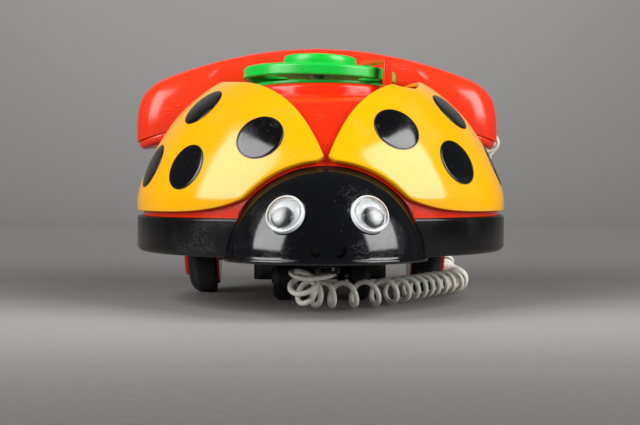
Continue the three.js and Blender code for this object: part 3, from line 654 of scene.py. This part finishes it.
def make_spots(side):
    discs = [(1.0, -0.6), (1.0, 0.5), (0.985, 0.85), (0.96, 1.0)]
    discs += [(share, 1.0) for share in (0.8, 0.6, 0.4, 0.2, 0.02)]
    rims = [(1.045, -0.6), (1.045, 0.35), (0.99, 0.4), (0.99, -0.6)]
    for look, rings, name in (("spot", discs, "spots"), ("spot_rim", rims, "spot_rims")):
        verts, faces = [], []
        for phi, z in SPOTS[side]:
            points = spot_points(side, phi, z, SPOT_RADIUS, 0.32, rings)
            start, end = len(verts), len(verts) + len(points)
            faces += grid_faces(len(rings), SPOT_SIDES, look == "spot_rim", True, start)
            if look == "spot":
                faces.append(tuple(range(end - SPOT_SIDES, end)))
                faces.append(tuple(range(start, start + SPOT_SIDES)))
            verts += points
        build(("right_" if side > 0 else "left_") + name, verts, faces, look, "toy_body", angle=60)


# ---------- head and eyes
def eye_place(side):
    a, b, c = HEAD["a"], HEAD["b"], HEAD["c"]
    rise = EYE["z"] - HEAD["z"]
    depth = -b * math.sqrt(1 - (EYE["x"] / a) ** 2 - (rise / c) ** 2)
    point = Vector((side * EYE["x"], HEAD["y"] + depth, EYE["z"]))
    normal = Vector((side * EYE["x"] / a ** 2, depth / b ** 2, rise / c ** 2)).normalized()
    across = Vector((0, 0, 1)).cross(normal).normalized()
    up = normal.cross(across)
    return point, Matrix((across, up, normal)).transposed()


def reshape(obj, shape):
    """Moves each point of obj to where shape puts its x, y and z in millimetres."""
    for v in obj.data.vertices:
        v.co = place(shape(v.co.x / MM, v.co.y / MM - CENTRE, v.co.z / MM))
    return obj


def nostril_tool(side):
    """A slanted oval bore through the front of the head."""
    bore = lathe("tool", [(0, -7), (1, -7), (1, 7), (0, 7)], "satin", segments=32,
                 turn=Matrix.Rotation(math.pi / 2, 3, "X"))
    wide = NOSTRIL["right"] if side > 0 else NOSTRIL["left"]
    front = HEAD["y"] - HEAD["b"] + 4
    return reshape(bore, lambda x, y, z: (side * NOSTRIL["x"] + x * wide + side * z * NOSTRIL["slant"],
                                          front + y, NOSTRIL["z"] + z * wide * NOSTRIL["tall"]))


def shade_like(obj, model):
    """Gives obj the shading of model where it lies on model's surface."""
    shading = obj.modifiers.new("shading", "DATA_TRANSFER")
    shading.object = model
    shading.use_loop_data = True
    shading.data_types_loops = {"CUSTOM_NORMAL"}
    shading.loop_mapping = "POLYINTERP_NEAREST"
    shading.use_max_distance = True
    shading.max_distance = 0.05 * MM
    mesh = evaluated(obj)
    obj.modifiers.clear()
    obj.data = mesh


def make_head():
    z, c, wall = HEAD["z"], HEAD["c"], HEAD["wall"] / HEAD["a"]
    lip = 1 + 0.6 / HEAD["a"]
    outside = [(math.cos(a), z + c * math.sin(a)) for a in (rad(3.2 + (86.8 * i / 60)) for i in range(60))]
    rim = [(lip - 0.004, z), (lip, z + 0.35), (lip, z + 1.2), (lip - 0.004, z + 1.55), (lip - 0.012, z + 1.7)]
    turns = [rad(88 - 88 * i / 24) for i in range(25)]
    inside = [((1 - wall) * math.cos(a), z + 2 + (c - 4) * math.sin(a)) for a in turns]
    profile = rim + outside + [(0, z + c)] + [(0, z + c - 2)] + inside + [(1 - wall, z)]
    # a unit profile, turned and stretched to the head's plan
    head = reshape(lathe("head_shell_fine", profile, "black", segments=160),
                   lambda x, y, h: (x * HEAD["a"], HEAD["y"] + y * HEAD["b"], h))
    behind = [(0, 18), (TRAY["radius"] + GAP, 18), (TRAY["radius"] + GAP, TRAY["top"] + 0.4)]
    dome = offset(spline(BODY_PROFILE, 40), GAP)
    behind += [(r, h) for r, h in dome if h > TRAY["top"] + 0.6] + [(0, 91.3)]
    tools = [lathe("tool", behind, "satin", segments=192)]
    for side in (-1, 1):
        point, turn = eye_place(side)
        tools.append(tool_cylinder(EYE["radius"] + 0.35, -EYE["seat"] - 0.4, 12, point, turn, 64))
        tools.append(nostril_tool(side))
    whole = head.copy()
    whole.data = head.data.copy()
    bpy.context.scene.collection.objects.link(whole)
    cut(head, *tools, angle=30)
    # the cuts leave long faces at their edges, so the outside takes its shading from the uncut head
    shade_like(head, whole)
    bpy.data.objects.remove(whole)
    dress(head, "black", "toy_body", ("head_shell",))


def make_eyes():
    r, cup, lens, dome, seat = (EYE[k] for k in ("radius", "cup", "lens", "dome", "seat"))
    base = -seat + GAP
    foot = base + 1.2 + GAP
    shape = [(0, base), (r, base), (r, base + cup), (lens + 0.25, base + cup), (lens + 0.25, base + 1.2),
             (0, base + 1.2)]
    arc = [(math.cos(a), math.sin(a)) for a in (math.pi / 2 * i / 16 for i in range(17))]
    outside = [(lens * c, foot + 0.9 + dome * s) for c, s in arc]
    inside = [((lens - 0.6) * c, foot + 0.9 + (dome - 0.6) * s) for c, s in reversed(arc)]
    outside[-1], inside[0] = (0, foot + 0.9 + dome), (0, foot + 0.3 + dome)
    for name, side in (("left", -1), ("right", 1)):
        point, turn = eye_place(side)
        lathe(f"{name}_eye_cup_fine", shape, "white", "toy_body", (f"{name}_eye_cup",), point, turn, 72, 0.45)
        skin = [(lens, foot)] + outside + inside + [(lens - 0.6, foot)]
        lathe(f"{name}_eye_lens_fine", skin, "clear", "toy_body", (f"{name}_eye_lens",), point, turn, 72,
              closed=True)
        middle = point + turn @ Vector((side * PUPIL["out"], -PUPIL["down"], foot + 0.1))
        disc = PUPIL["radius"]
        bowl = [(0, 0), (disc, 0), (disc, 0.3)]
        bowl += [(disc * math.cos(a), 0.3 + 1.25 * math.sin(a)) for a in (rad(6 * i) for i in range(1, 15))]
        bowl += [(0, 1.55)]
        lathe(f"{name}_pupil_fine", bowl, "pupil", f"{name}_pupil_disc", (f"{name}_pupil",), middle, turn,
              64, 0.25)


# ---------- dial
DIAL_TURN = Matrix.Rotation(rad(DIAL["lean"]), 3, "Y")
DIAL_FOOT = Vector((DIAL["x"], TURRET["y"], TURRET["top"]))


def hole_place(i):
    """The middle of finger hole i from the dial's foot."""
    a = rad(-8 + 30 * i)
    return Vector((DIAL["pitch"] * math.cos(a), DIAL["pitch"] * math.sin(a), 0))


def make_dial():
    r, skirt, web = (DIAL[k] for k in ("radius", "skirt", "web"))
    low, high, crown = (z - TURRET["top"] for z in (DIAL["bottom"], DIAL["top"], HUB["top"]))
    profile = [(2.4, high - web), (r - skirt, high - web), (r - skirt, low), (r - 0.5, low), (r, low + 0.5),
               (r, high - 0.9), (r - 0.9, high), (2.4, high)]
    wheel = lathe("dial_wheel_fine", profile, "green", centre=DIAL_FOOT, turn=DIAL_TURN, segments=160,
                  round_by=0.5, closed=True)
    cut(wheel, *[tool_cylinder(DIAL["hole"], low, high + 1, DIAL_FOOT + DIAL_TURN @ hole_place(i), DIAL_TURN)
                 for i in range(DIAL["holes"])])
    bevel(wheel, 0.35, 3, 50)
    dress(wheel, "green", "dial", ("dial_wheel",))
    rim = HUB["radius"]
    hub = [(0, high + GAP), (rim - 0.2, high + GAP), (rim, crown - 2.2), (rim - 0.4, crown - 0.5),
           (rim - 1.4, crown), (rim - 2.6, crown - 0.15), (rim - 3.2, crown - 0.7), (0, crown - 0.6)]
    lathe("dial_hub_fine", hub, "green", "dial", ("dial_hub",), DIAL_FOOT, DIAL_TURN, 96, 0.4)
    plate, top = DIAL["plate"], DIAL["plate_top"]
    bore, under = DIAL["bore"], TURRET["top"] + GAP
    ring = [(bore, under), (plate, under), (plate, top), (bore, top)]
    lathe("number_plate_fine", ring, "green", "toy_body", ("number_plate",), (DIAL["x"], TURRET["y"], 0),
          round_by=0.3, closed=True)
    make_digits()


def make_digits():
    """Raised numbers 1 to 9 and 0 on the plate, one under each finger hole."""
    joined = bmesh.new()
    for i in range(DIAL["holes"]):
        text = bpy.data.curves.new("digit", "FONT")
        text.body = str((i + 1) % 10)
        text.size = 0.0062
        text.extrude = 0.00012
        text.align_x = text.align_y = "CENTER"
        obj = bpy.data.objects.new("digit", text)
        spot = hole_place(i)
        obj.location = place((DIAL["x"] + spot.x, TURRET["y"] + spot.y, DIAL["plate_top"] + 0.1))
        obj.rotation_euler.z = math.atan2(spot.y, spot.x) - math.pi / 2
        bpy.context.scene.collection.objects.link(obj)
        mesh = evaluated(obj)
        mesh.transform(obj.matrix_world)
        joined.from_mesh(mesh)
        bpy.data.objects.remove(obj)
    mesh = bpy.data.meshes.new("dial_numbers")
    joined.to_mesh(mesh)
    joined.free()
    numbers = bpy.data.objects.new("dial_numbers", mesh)
    bpy.context.scene.collection.objects.link(numbers)
    dress(numbers, "digits", "toy_body")


# ---------- handset
def smoothstep(x, a, b):
    t = min(max((x - a) / (b - a), 0), 1)
    return t * t * (3 - 2 * t)


def grip_under(x):
    return 101.8 - 0.0016 * x * x


def cap_plane(x):
    return HANDSET["low"] + (HANDSET["half"] - x) * math.tan(rad(HANDSET["tilt"]))


TOP_LINE = spline(HANDSET_TOP, 400)


def top_height(x):
    k = next((i for i in range(len(TOP_LINE) - 1) if TOP_LINE[i + 1][0] >= x), len(TOP_LINE) - 2)
    (x0, z0), (x1, z1) = TOP_LINE[k], TOP_LINE[k + 1]
    return z0 + (z1 - z0) * (x - x0) / max(x1 - x0, 1e-9)


def half_width(x):
    pod, radius, grip = HANDSET["pod"], HANDSET["radius"], HANDSET["grip"]
    if x > pod:
        return math.sqrt(max(0.35, radius ** 2 - (x - pod) ** 2))
    return grip + (radius - grip) * smoothstep(x, 42, 72)


def make_handset():
    stations = [i * 1.6 for i in range(47)]
    turns = (4, 12, 20, 28, 36, 44, 51, 58, 64, 69, 74, 79, 84, 88)
    stations += [HANDSET["pod"] + HANDSET["radius"] * math.sin(rad(a)) for a in turns]
    stations = sorted(set([-s for s in stations] + stations))
    n = 56
    verts = []
    for x in stations:
        ax = abs(x)
        top = top_height(ax)
        under = grip_under(ax) + (cap_plane(ax) - 12 - grip_under(ax)) * smoothstep(ax, 48, 58)
        for i in range(n):
            a = 2 * math.pi * (i + 0.5) / n
            c, s = math.cos(a), math.sin(a)
            power = 2 / 2.35
            y = half_width(ax) * math.copysign(abs(c) ** power, c)
            z = (top + under) / 2 + (top - under) / 2 * math.copysign(abs(s) ** power, s)
            verts.append(place((x, HANDSET["y"] + y, z)))
    faces = grid_faces(len(stations), n, close_columns=True)
    faces += [tuple(range(n)), tuple(range(len(verts) - n, len(verts)))]
    body = build("handset_body_fine", verts, faces, "handset", angle=60)
    tools = []
    for side in (-1, 1):
        turn = Matrix.Rotation(side * rad(HANDSET["tilt"]), 3, "Y")
        centre = (side * HANDSET["pod"], HANDSET["y"], cap_plane(HANDSET["pod"]))
        tools.append(tool_box(*sorted((-side * 26, side * 30)), -40, 40, -40, 0, turn, centre))
    aim = rad(SLEEVE["turn"])
    away = HANDSET["radius"] + 1.7
    mouth = (HANDSET["pod"] + away * math.cos(aim), HANDSET["y"] + away * math.sin(aim), SLEEVE["z"])
    tools.append(tool_cylinder(2.6, -8, 8, mouth, Matrix.Rotation(aim, 3, "Z") @ AXLE, 32))
    cut(body, *tools, angle=50)
    bevel(body, 0.5, 3, 50)
    dress(body, "handset", "handset", ("handset_body",))
    make_caps()


def make_caps():
    cap, r = HANDSET["cap"], HANDSET["radius"] - 0.3
    profile = [(0, -cap + 0.6), (r - 5, -cap), (r - 2, -cap + 0.2), (r - 0.6, -cap + 1.2), (r, -cap + 2.8),
               (r, -GAP - 0.5), (r - 0.5, -GAP), (r - 2, -GAP), (r - 2, -cap + 2.2), (0, -cap + 2.2)]
    for name, side in (("earpiece_cap", -1), ("mouthpiece_cap", 1)):
        turn = Matrix.Rotation(side * rad(HANDSET["tilt"]), 3, "Y")
        centre = Vector((side * HANDSET["pod"], HANDSET["y"], cap_plane(HANDSET["pod"])))
        disc = lathe(name + "_fine", profile, "handset", centre=centre, turn=turn, segments=96, round_by=0.8)
        tools = [tool_cylinder(1.4, -8, 0, centre, turn, 20)]
        for i in range(6):
            spot = Vector((6 * math.cos(i * math.pi / 3), 6 * math.sin(i * math.pi / 3), 0))
            tools.append(tool_cylinder(1.4, -8, 0, centre + turn @ spot, turn, 20))
        cut(disc, *tools)
        dress(disc, "handset", "handset", (name,))


# ---------- wheels
def make_tyre(side):
    """A tyre with ribs across its tread."""
    ribs, per = 74, 6
    r, t = REAR["radius"], REAR["tread"]
    # radius, distance out along the axle, how deep the ribs are there
    profile = [(9.2, 1.6, 0), (r - 1.1, 1.6, 0), (r - 0.3, 1.9, 0), (r, 2.5, 1), (r, 3.6, 1), (r, 5, 1),
               (r, 6.6, 1), (r, t - 6.5, 1), (r - 0.1, t - 5.2, 1), (r - 0.6, t - 4, 1),
               (r - 1.3, t - 2.8, 0.8), (r - 2.5, t - 1.7, 0), (r - 4, t - 0.9, 0), (11.6, t - 0.4, 0),
               (9.4, t, 0), (9.2, t, 0)]
    around = ribs * per
    verts = []
    for radius, z, deep in profile:
        for k in range(around):
            a = 2 * math.pi * k / around
            wave = 0.5 - 0.5 * math.cos(2 * math.pi * (k % per) / per)
            rr = radius - 0.38 * deep * (1 - min(1, 1.6 * wave))
            p = AXLE @ Vector((rr * math.cos(a), rr * math.sin(a), z * side))
            verts.append(place(p + Vector((side * REAR["inner"] + REAR["play"], REAR["y"], REAR["radius"]))))
    name = "rear_right_tyre" if side > 0 else "rear_left_tyre"
    faces = grid_faces(len(profile), around, True, True)
    build(name + "_fine", verts, faces, "tyre", "rear_wheels", (name,), angle=28)


def flipped(profile, side):
    return [(r, z * side) for r, z in profile]


def make_wheels():
    tread, axle = REAR["tread"], REAR["axle"]
    hub = [(axle + 0.15, 0), (13, 0), (13, 1.3), (8.9, 1.3), (8.9, tread + 1.2), (7.6, tread + 2),
           (4.6, tread + 2), (3.8, tread + 1.4), (2.8, tread + 1.4), (2.2, tread + 2.2), (0, tread + 2.2),
           (0, tread), (axle + 0.15, tread)]
    width, fr, fa = FRONT["width"], FRONT["radius"], FRONT["axle"]
    wheel = [(fa + 0.15, -0.6), (3.4, -0.6), (3.4, 0), (fr - 1, 0), (fr, 1), (fr, width - 2), (fr - 2, width),
             (8, width), (7.4, width - 1), (4, width - 1), (3.4, width + 0.8), (0, width + 0.8), (0, width),
             (fa + 0.15, width)]
    for name, side in (("left", -1), ("right", 1)):
        make_tyre(side)
        lathe(f"rear_{name}_hub_fine", flipped(hub, side), "red", "rear_wheels", (f"rear_{name}_hub",),
              (side * REAR["inner"] + REAR["play"], REAR["y"], REAR["radius"]), AXLE, 72, 0.4, closed=True)
        lathe(f"front_{name}_wheel_fine", flipped(wheel, side), "tyre", "front_wheels",
              (f"front_{name}_wheel",), (side * FRONT["inner"], FRONT["y"], FRONT["radius"]), AXLE, 72, 0.5,
              closed=True)


def make_screws():
    """Cross-head screws in place of the plain ones."""
    places = [(f"base_screw_{i + 1}", (x, y, TRAY["bottom"] - 1.7), 3.2, 1.2, 14)
              for i, (x, y) in enumerate(SCREWS)]
    places += [(f"box_screw_{i + 1}", (x, 12, 8.7), 2.6, 1.3, 8) for i, x in enumerate((-22, 22))]
    places += [("bracket_screw", (0, FRONT["y"], TRAY["bottom"] - 4.4), 2.8, 1.3, 4)]
    places += [(f"handset_screw_{i + 1}", (x, HANDSET["y"], grip_under(x) - 2.2), 2.8, 1.3, 9.4)
               for i, x in enumerate((-34, 34))]
    for name, at, head, shaft, long in places:
        profile = [(0, 0), (head * 0.7, 0.05), (head, 0.7), (head, 1.4), (shaft, 1.4), (shaft, long),
                   (0, long)]
        screw = lathe(name + "_fine", profile, "steel", centre=at, segments=28)
        for turn in (0, math.pi / 2):
            spin = Matrix.Rotation(turn + at[0], 3, "Z")
            cut(screw, tool_box(-head * 0.55, head * 0.55, -0.35, 0.35, -1, 0.8, spin, at))
        body = "handset" if name.startswith("handset") else "toy_body"
        dress(screw, "steel", body, (name,))


# ---------- curly cord
COIL_ROUTE = [(-8, -69, 17.5), (-9, -66.5, 12), (-8, -61.8, 8.8), (-3, -57, 7.6), (4.5, -52.5, 6.8),
              (12.5, -47, 6.4), (21.5, -40, 6.3), (31, -30.5, 6.3), (40.5, -17, 6.3), (49.5, -2.5, 6.3),
              (57.8, 8.8, 6.3), (64.4, 18, 6.3), (67.4, 30, 6.3), (67.6, 44, 6.3), (67.8, 60, 6.3),
              (68, 76, 7), (69.5, 89, 13.5), (73.5, 93.5, 26), (78.5, 94.5, 40), (84, 94, 54), (89, 91.5, 66),
              (91.6, 85, 73.2), (91.8, 76.2, 75)]
BASE_LEAD = [(*CORD_OUT, 22), (4, -64.2, 19.4), (3.4, -67.4, 16.9), (0.8, -71.8, 15.8)]
HANDSET_LEAD = [(89.6, 75.2, 79.9), (88.3, 73.9, 79.6), (87.2, 72.6, 79.5), (86.4, 71.6, 79.5)]
# How close the turns lie: (share of the route, millimetres a turn).
PITCH = [(0.0, 5.6), (0.05, 6.2), (0.08, 7.5), (0.11, 11.5), (0.18, 12.5), (0.23, 9), (0.3, 7.6), (0.4, 7.2),
         (1.0, 7.2)]


def pitch_at(share):
    for (a, pa), (b, pb) in zip(PITCH, PITCH[1:]):
        if share <= b:
            return pa + (pb - pa) * (share - a) / (b - a)
    return PITCH[-1][1]


def even_path(points, step):
    """Points a fixed step apart along the smooth line through points."""
    line = [Vector(p) for p in spline(points, 40 * (len(points) - 1))]
    out, since = [line[0]], 0.0
    for a, b in zip(line, line[1:]):
        long = (b - a).length
        while since + long >= step:
            u = (step - since) / long
            a = a + (b - a) * u
            out.append(a)
            long = (b - a).length
            since = 0.0
        since += long
    return out


def cord_line():
    """The wire's middle line: the lead, the helix about the coil's route, and the lead to the handset."""
    step = 0.1
    axis = even_path(COIL_ROUTE, step)
    total = len(axis)
    frames, turns = [], [0.0]
    side = Vector((0, 0, 1)).cross(axis[1] - axis[0]).normalized()
    for i in range(total):
        ahead = (axis[min(i + 3, total - 1)] - axis[max(i - 3, 0)]).normalized()
        side = (side - ahead * side.dot(ahead)).normalized()
        frames.append((side, ahead.cross(side)))
        turns.append(turns[-1] + 2 * math.pi * step / pitch_at(i / total))
    # the last turn ends on top, where the lead to the handset takes over
    side, up = frames[-1]
    whole = 2 * math.pi
    top = (math.atan2(up.z, side.z) + math.pi / 2) % whole
    scale = (top + whole * round((turns[-1] - top) / whole)) / turns[-1]
    helix = []
    for i, (side, up) in enumerate(frames):
        reach = COIL / 2 - WIRE / 2 + 0.8 * (1 - smoothstep(i / total, 0.0, 0.05))
        angle = turns[i] * scale
        helix.append(axis[i] + side * (reach * math.sin(angle)) - up * (reach * math.cos(angle)))
    start = [Vector(p) for p in spline(BASE_LEAD + [tuple(helix[4]), tuple(helix[14])], 120)]
    end = [Vector(p) for p in spline([tuple(helix[-14]), tuple(helix[-4])] + HANDSET_LEAD, 120)]
    dense = start + helix[15:-14] + end
    line, since = [dense[0]], 0.0
    for a, b in zip(dense, dense[1:]):
        since += (b - a).length
        if since >= 0.9:
            line.append(b)
            since = 0.0
    line.append(dense[-1])
    for _ in range(2):
        middle = [(line[i - 1] + 2 * line[i] + line[i + 1]) / 4 for i in range(1, len(line) - 1)]
        line = [line[0]] + middle + [line[-1]]
    return line


def make_cord():
    line = cord_line()
    around, radius = 10, WIRE / 2
    verts, side = [], Vector((1, 0, 0))
    for i, p in enumerate(line):
        ahead = (line[min(i + 1, len(line) - 1)] - line[max(i - 1, 0)]).normalized()
        side = (side - ahead * side.dot(ahead)).normalized()
        up = ahead.cross(side)
        for k in range(around):
            a = 2 * math.pi * k / around
            q = p + (side * math.cos(a) + up * math.sin(a)) * radius
            verts.append(place((q.x, q.y, max(q.z, 0.05))))
    faces = grid_faces(len(line), around, close_columns=True)
    faces += [tuple(range(around)), tuple(range(len(verts) - around, len(verts)))]
    cord = build("curly_cord", verts, faces, "cord", angle=80)
    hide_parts("cord_coil", "cord_base_lead", "cord_handset_lead")
    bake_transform(cord)


# ---------- light and backdrop
def area_light(name, at, aim, size, power):
    data = bpy.data.lights.new(name, "AREA")
    data.shape = "RECTANGLE"
    data.size, data.size_y = size[0] * MM, size[1] * MM
    data.energy = power
    obj = bpy.data.objects.new(name, data)
    obj.location = Vector(at) * MM
    obj.rotation_euler = (Vector(aim) * MM - obj.location).to_track_quat("-Z", "Y").to_euler()
    bpy.context.scene.collection.objects.link(obj)


def paper():
    """Grey paper with painted light: painted palest just in front of the toy, and paler further back and up
    the backdrop.
    """
    n = Nodes("paper_sweep")
    offset_by = n.tree.nodes.new("ShaderNodeVectorMath")
    offset_by.operation = "MULTIPLY_ADD"
    offset_by.inputs[1].default_value = (0.35, 1, 0)
    offset_by.inputs[2].default_value = (0, 0.08, 0)
    n.link(n.coord, offset_by.inputs[0])
    away = n.tree.nodes.new("ShaderNodeVectorMath")
    away.operation = "LENGTH"
    n.link(offset_by.outputs[0], away.inputs[0])
    # painted pool of light: a mask that is 1 just in front of the toy and fades away from it
    painted_light_pool = n.math("POWER", 2.718, n.math("MULTIPLY", n.math("POWER", away.outputs["Value"], 2.0), -75.0))
    parts = n.tree.nodes.new("ShaderNodeSeparateXYZ")
    n.link(n.coord, parts.inputs[0])
    rise = n.ramp(parts.outputs["Z"], 0.0, 0.9)
    fine = n.noise(240, 4)
    tone = n.mix(n.ramp(fine, 0.3, 0.7), rgb(0x5C5958), rgb(0x625F5D))
    # painted light: the floor is painted paler towards the back
    tone = n.mix(n.ramp(parts.outputs["Y"], -0.05, 0.3), tone, rgb(0x787674))
    # painted pool of light: the paper is painted palest just in front of the toy
    tone = n.mix(painted_light_pool, tone, rgb(0x999795))
    # painted light: the backdrop is painted paler the higher it goes
    tone = n.mix(rise, tone, rgb(0x9A9896))
    n.link(tone, n.shader.inputs["Base Color"])
    n.shader.inputs["Roughness"].default_value = 0.8
    n.shader.inputs["Specular IOR Level"].default_value = 0.2
    n.link(n.bump(fine, 0.0004, 0.25), n.shader.inputs["Normal"])
    return n.material


def softbox(name, turn, rise, half_wide, half_high, radiance, away=900):
    """A softbox seen from the toy at turn degrees round from the front and rise degrees up."""
    a, b = rad(turn), rad(rise)
    at = (away * math.sin(a) * math.cos(b), -away * math.cos(a) * math.cos(b), away * math.sin(b))
    size = [2 * away * math.tan(rad(half)) for half in (half_wide, half_high)]
    power = radiance * math.pi * size[0] * size[1] * MM * MM
    area_light(name, at, (0, 0, 30), size, power)


def make_stage():
    """A grey paper sweep, a softbox at either side and a dim surround."""
    points, faces = [], []
    back, radius, high, half = 1500, 500, 2200, 2600
    profile = [(-1600, 0), (-600, 0), (0, 0), (back - radius, 0)]
    bend = [rad(a) for a in range(6, 91, 6)]
    profile += [(back - radius + radius * math.sin(a), radius * (1 - math.cos(a))) for a in bend]
    profile += [(back, high)]
    for y, z in profile:
        points += [Vector((-half, y, z)) * MM, Vector((half, y, z)) * MM]
    faces = [(2 * i, 2 * i + 1, 2 * i + 3, 2 * i + 2) for i in range(len(profile) - 1)]
    MAT["paper"] = paper()
    sweep = build("sweep", points, faces, "paper")
    world = bpy.data.worlds.new("room")
    world.use_nodes = True
    sky = world.node_tree.nodes["Background"]
    sky.inputs[0].default_value = (0.9, 0.93, 1.0, 1)
    sky.inputs[1].default_value = 0.1
    bpy.context.scene.world = world
    softbox("softbox_left", -61, 33, 18, 22, 7)
    softbox("softbox_right", 59, 33, 18, 22, 7.4)
    area_light("backdrop_light", (0, 600, 1100), (0, 1500, 620), (1600, 300), 17)
    bpy.context.scene.view_settings.view_transform = "Standard"


def main():
    make_tray()
    make_dome()
    for side in (-1, 1):
        make_wing(side)
        make_spots(side)
    make_head()
    make_eyes()
    make_dial()
    refined("finger_stop", "red", "toy_body", 0.35)
    make_handset()
    refined("handset_grip_cover", "handset", "handset", 0.3)
    refined("handset_cradle", "red", "toy_body", 0.6)
    make_wheels()
    make_screws()
    for node in ("underbody_box", "front_axle_bracket", "pull_cord_eye", "clapper_bearing_left",
                 "clapper_bearing_right"):
        refined(node, "satin", "toy_body", 0.4)
    kept = dict(
        steel=("dial_spindle", "dial_spring", "spindle_washer", "click_leaf", "rear_axle", "front_axle",
               "gong_screw", "clapper", "clapper_pin"),
        white=("ratchet_wheel", "star_cam"), brass=("gong",),
        cord=("handset_cord_sleeve", "base_cord_grommet"))
    for look, nodes in kept.items():
        for node in nodes:
            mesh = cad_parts[node].data
            mesh.materials.clear()
            mesh.materials.append(MAT[look])
    make_cord()
    make_stage()


main()
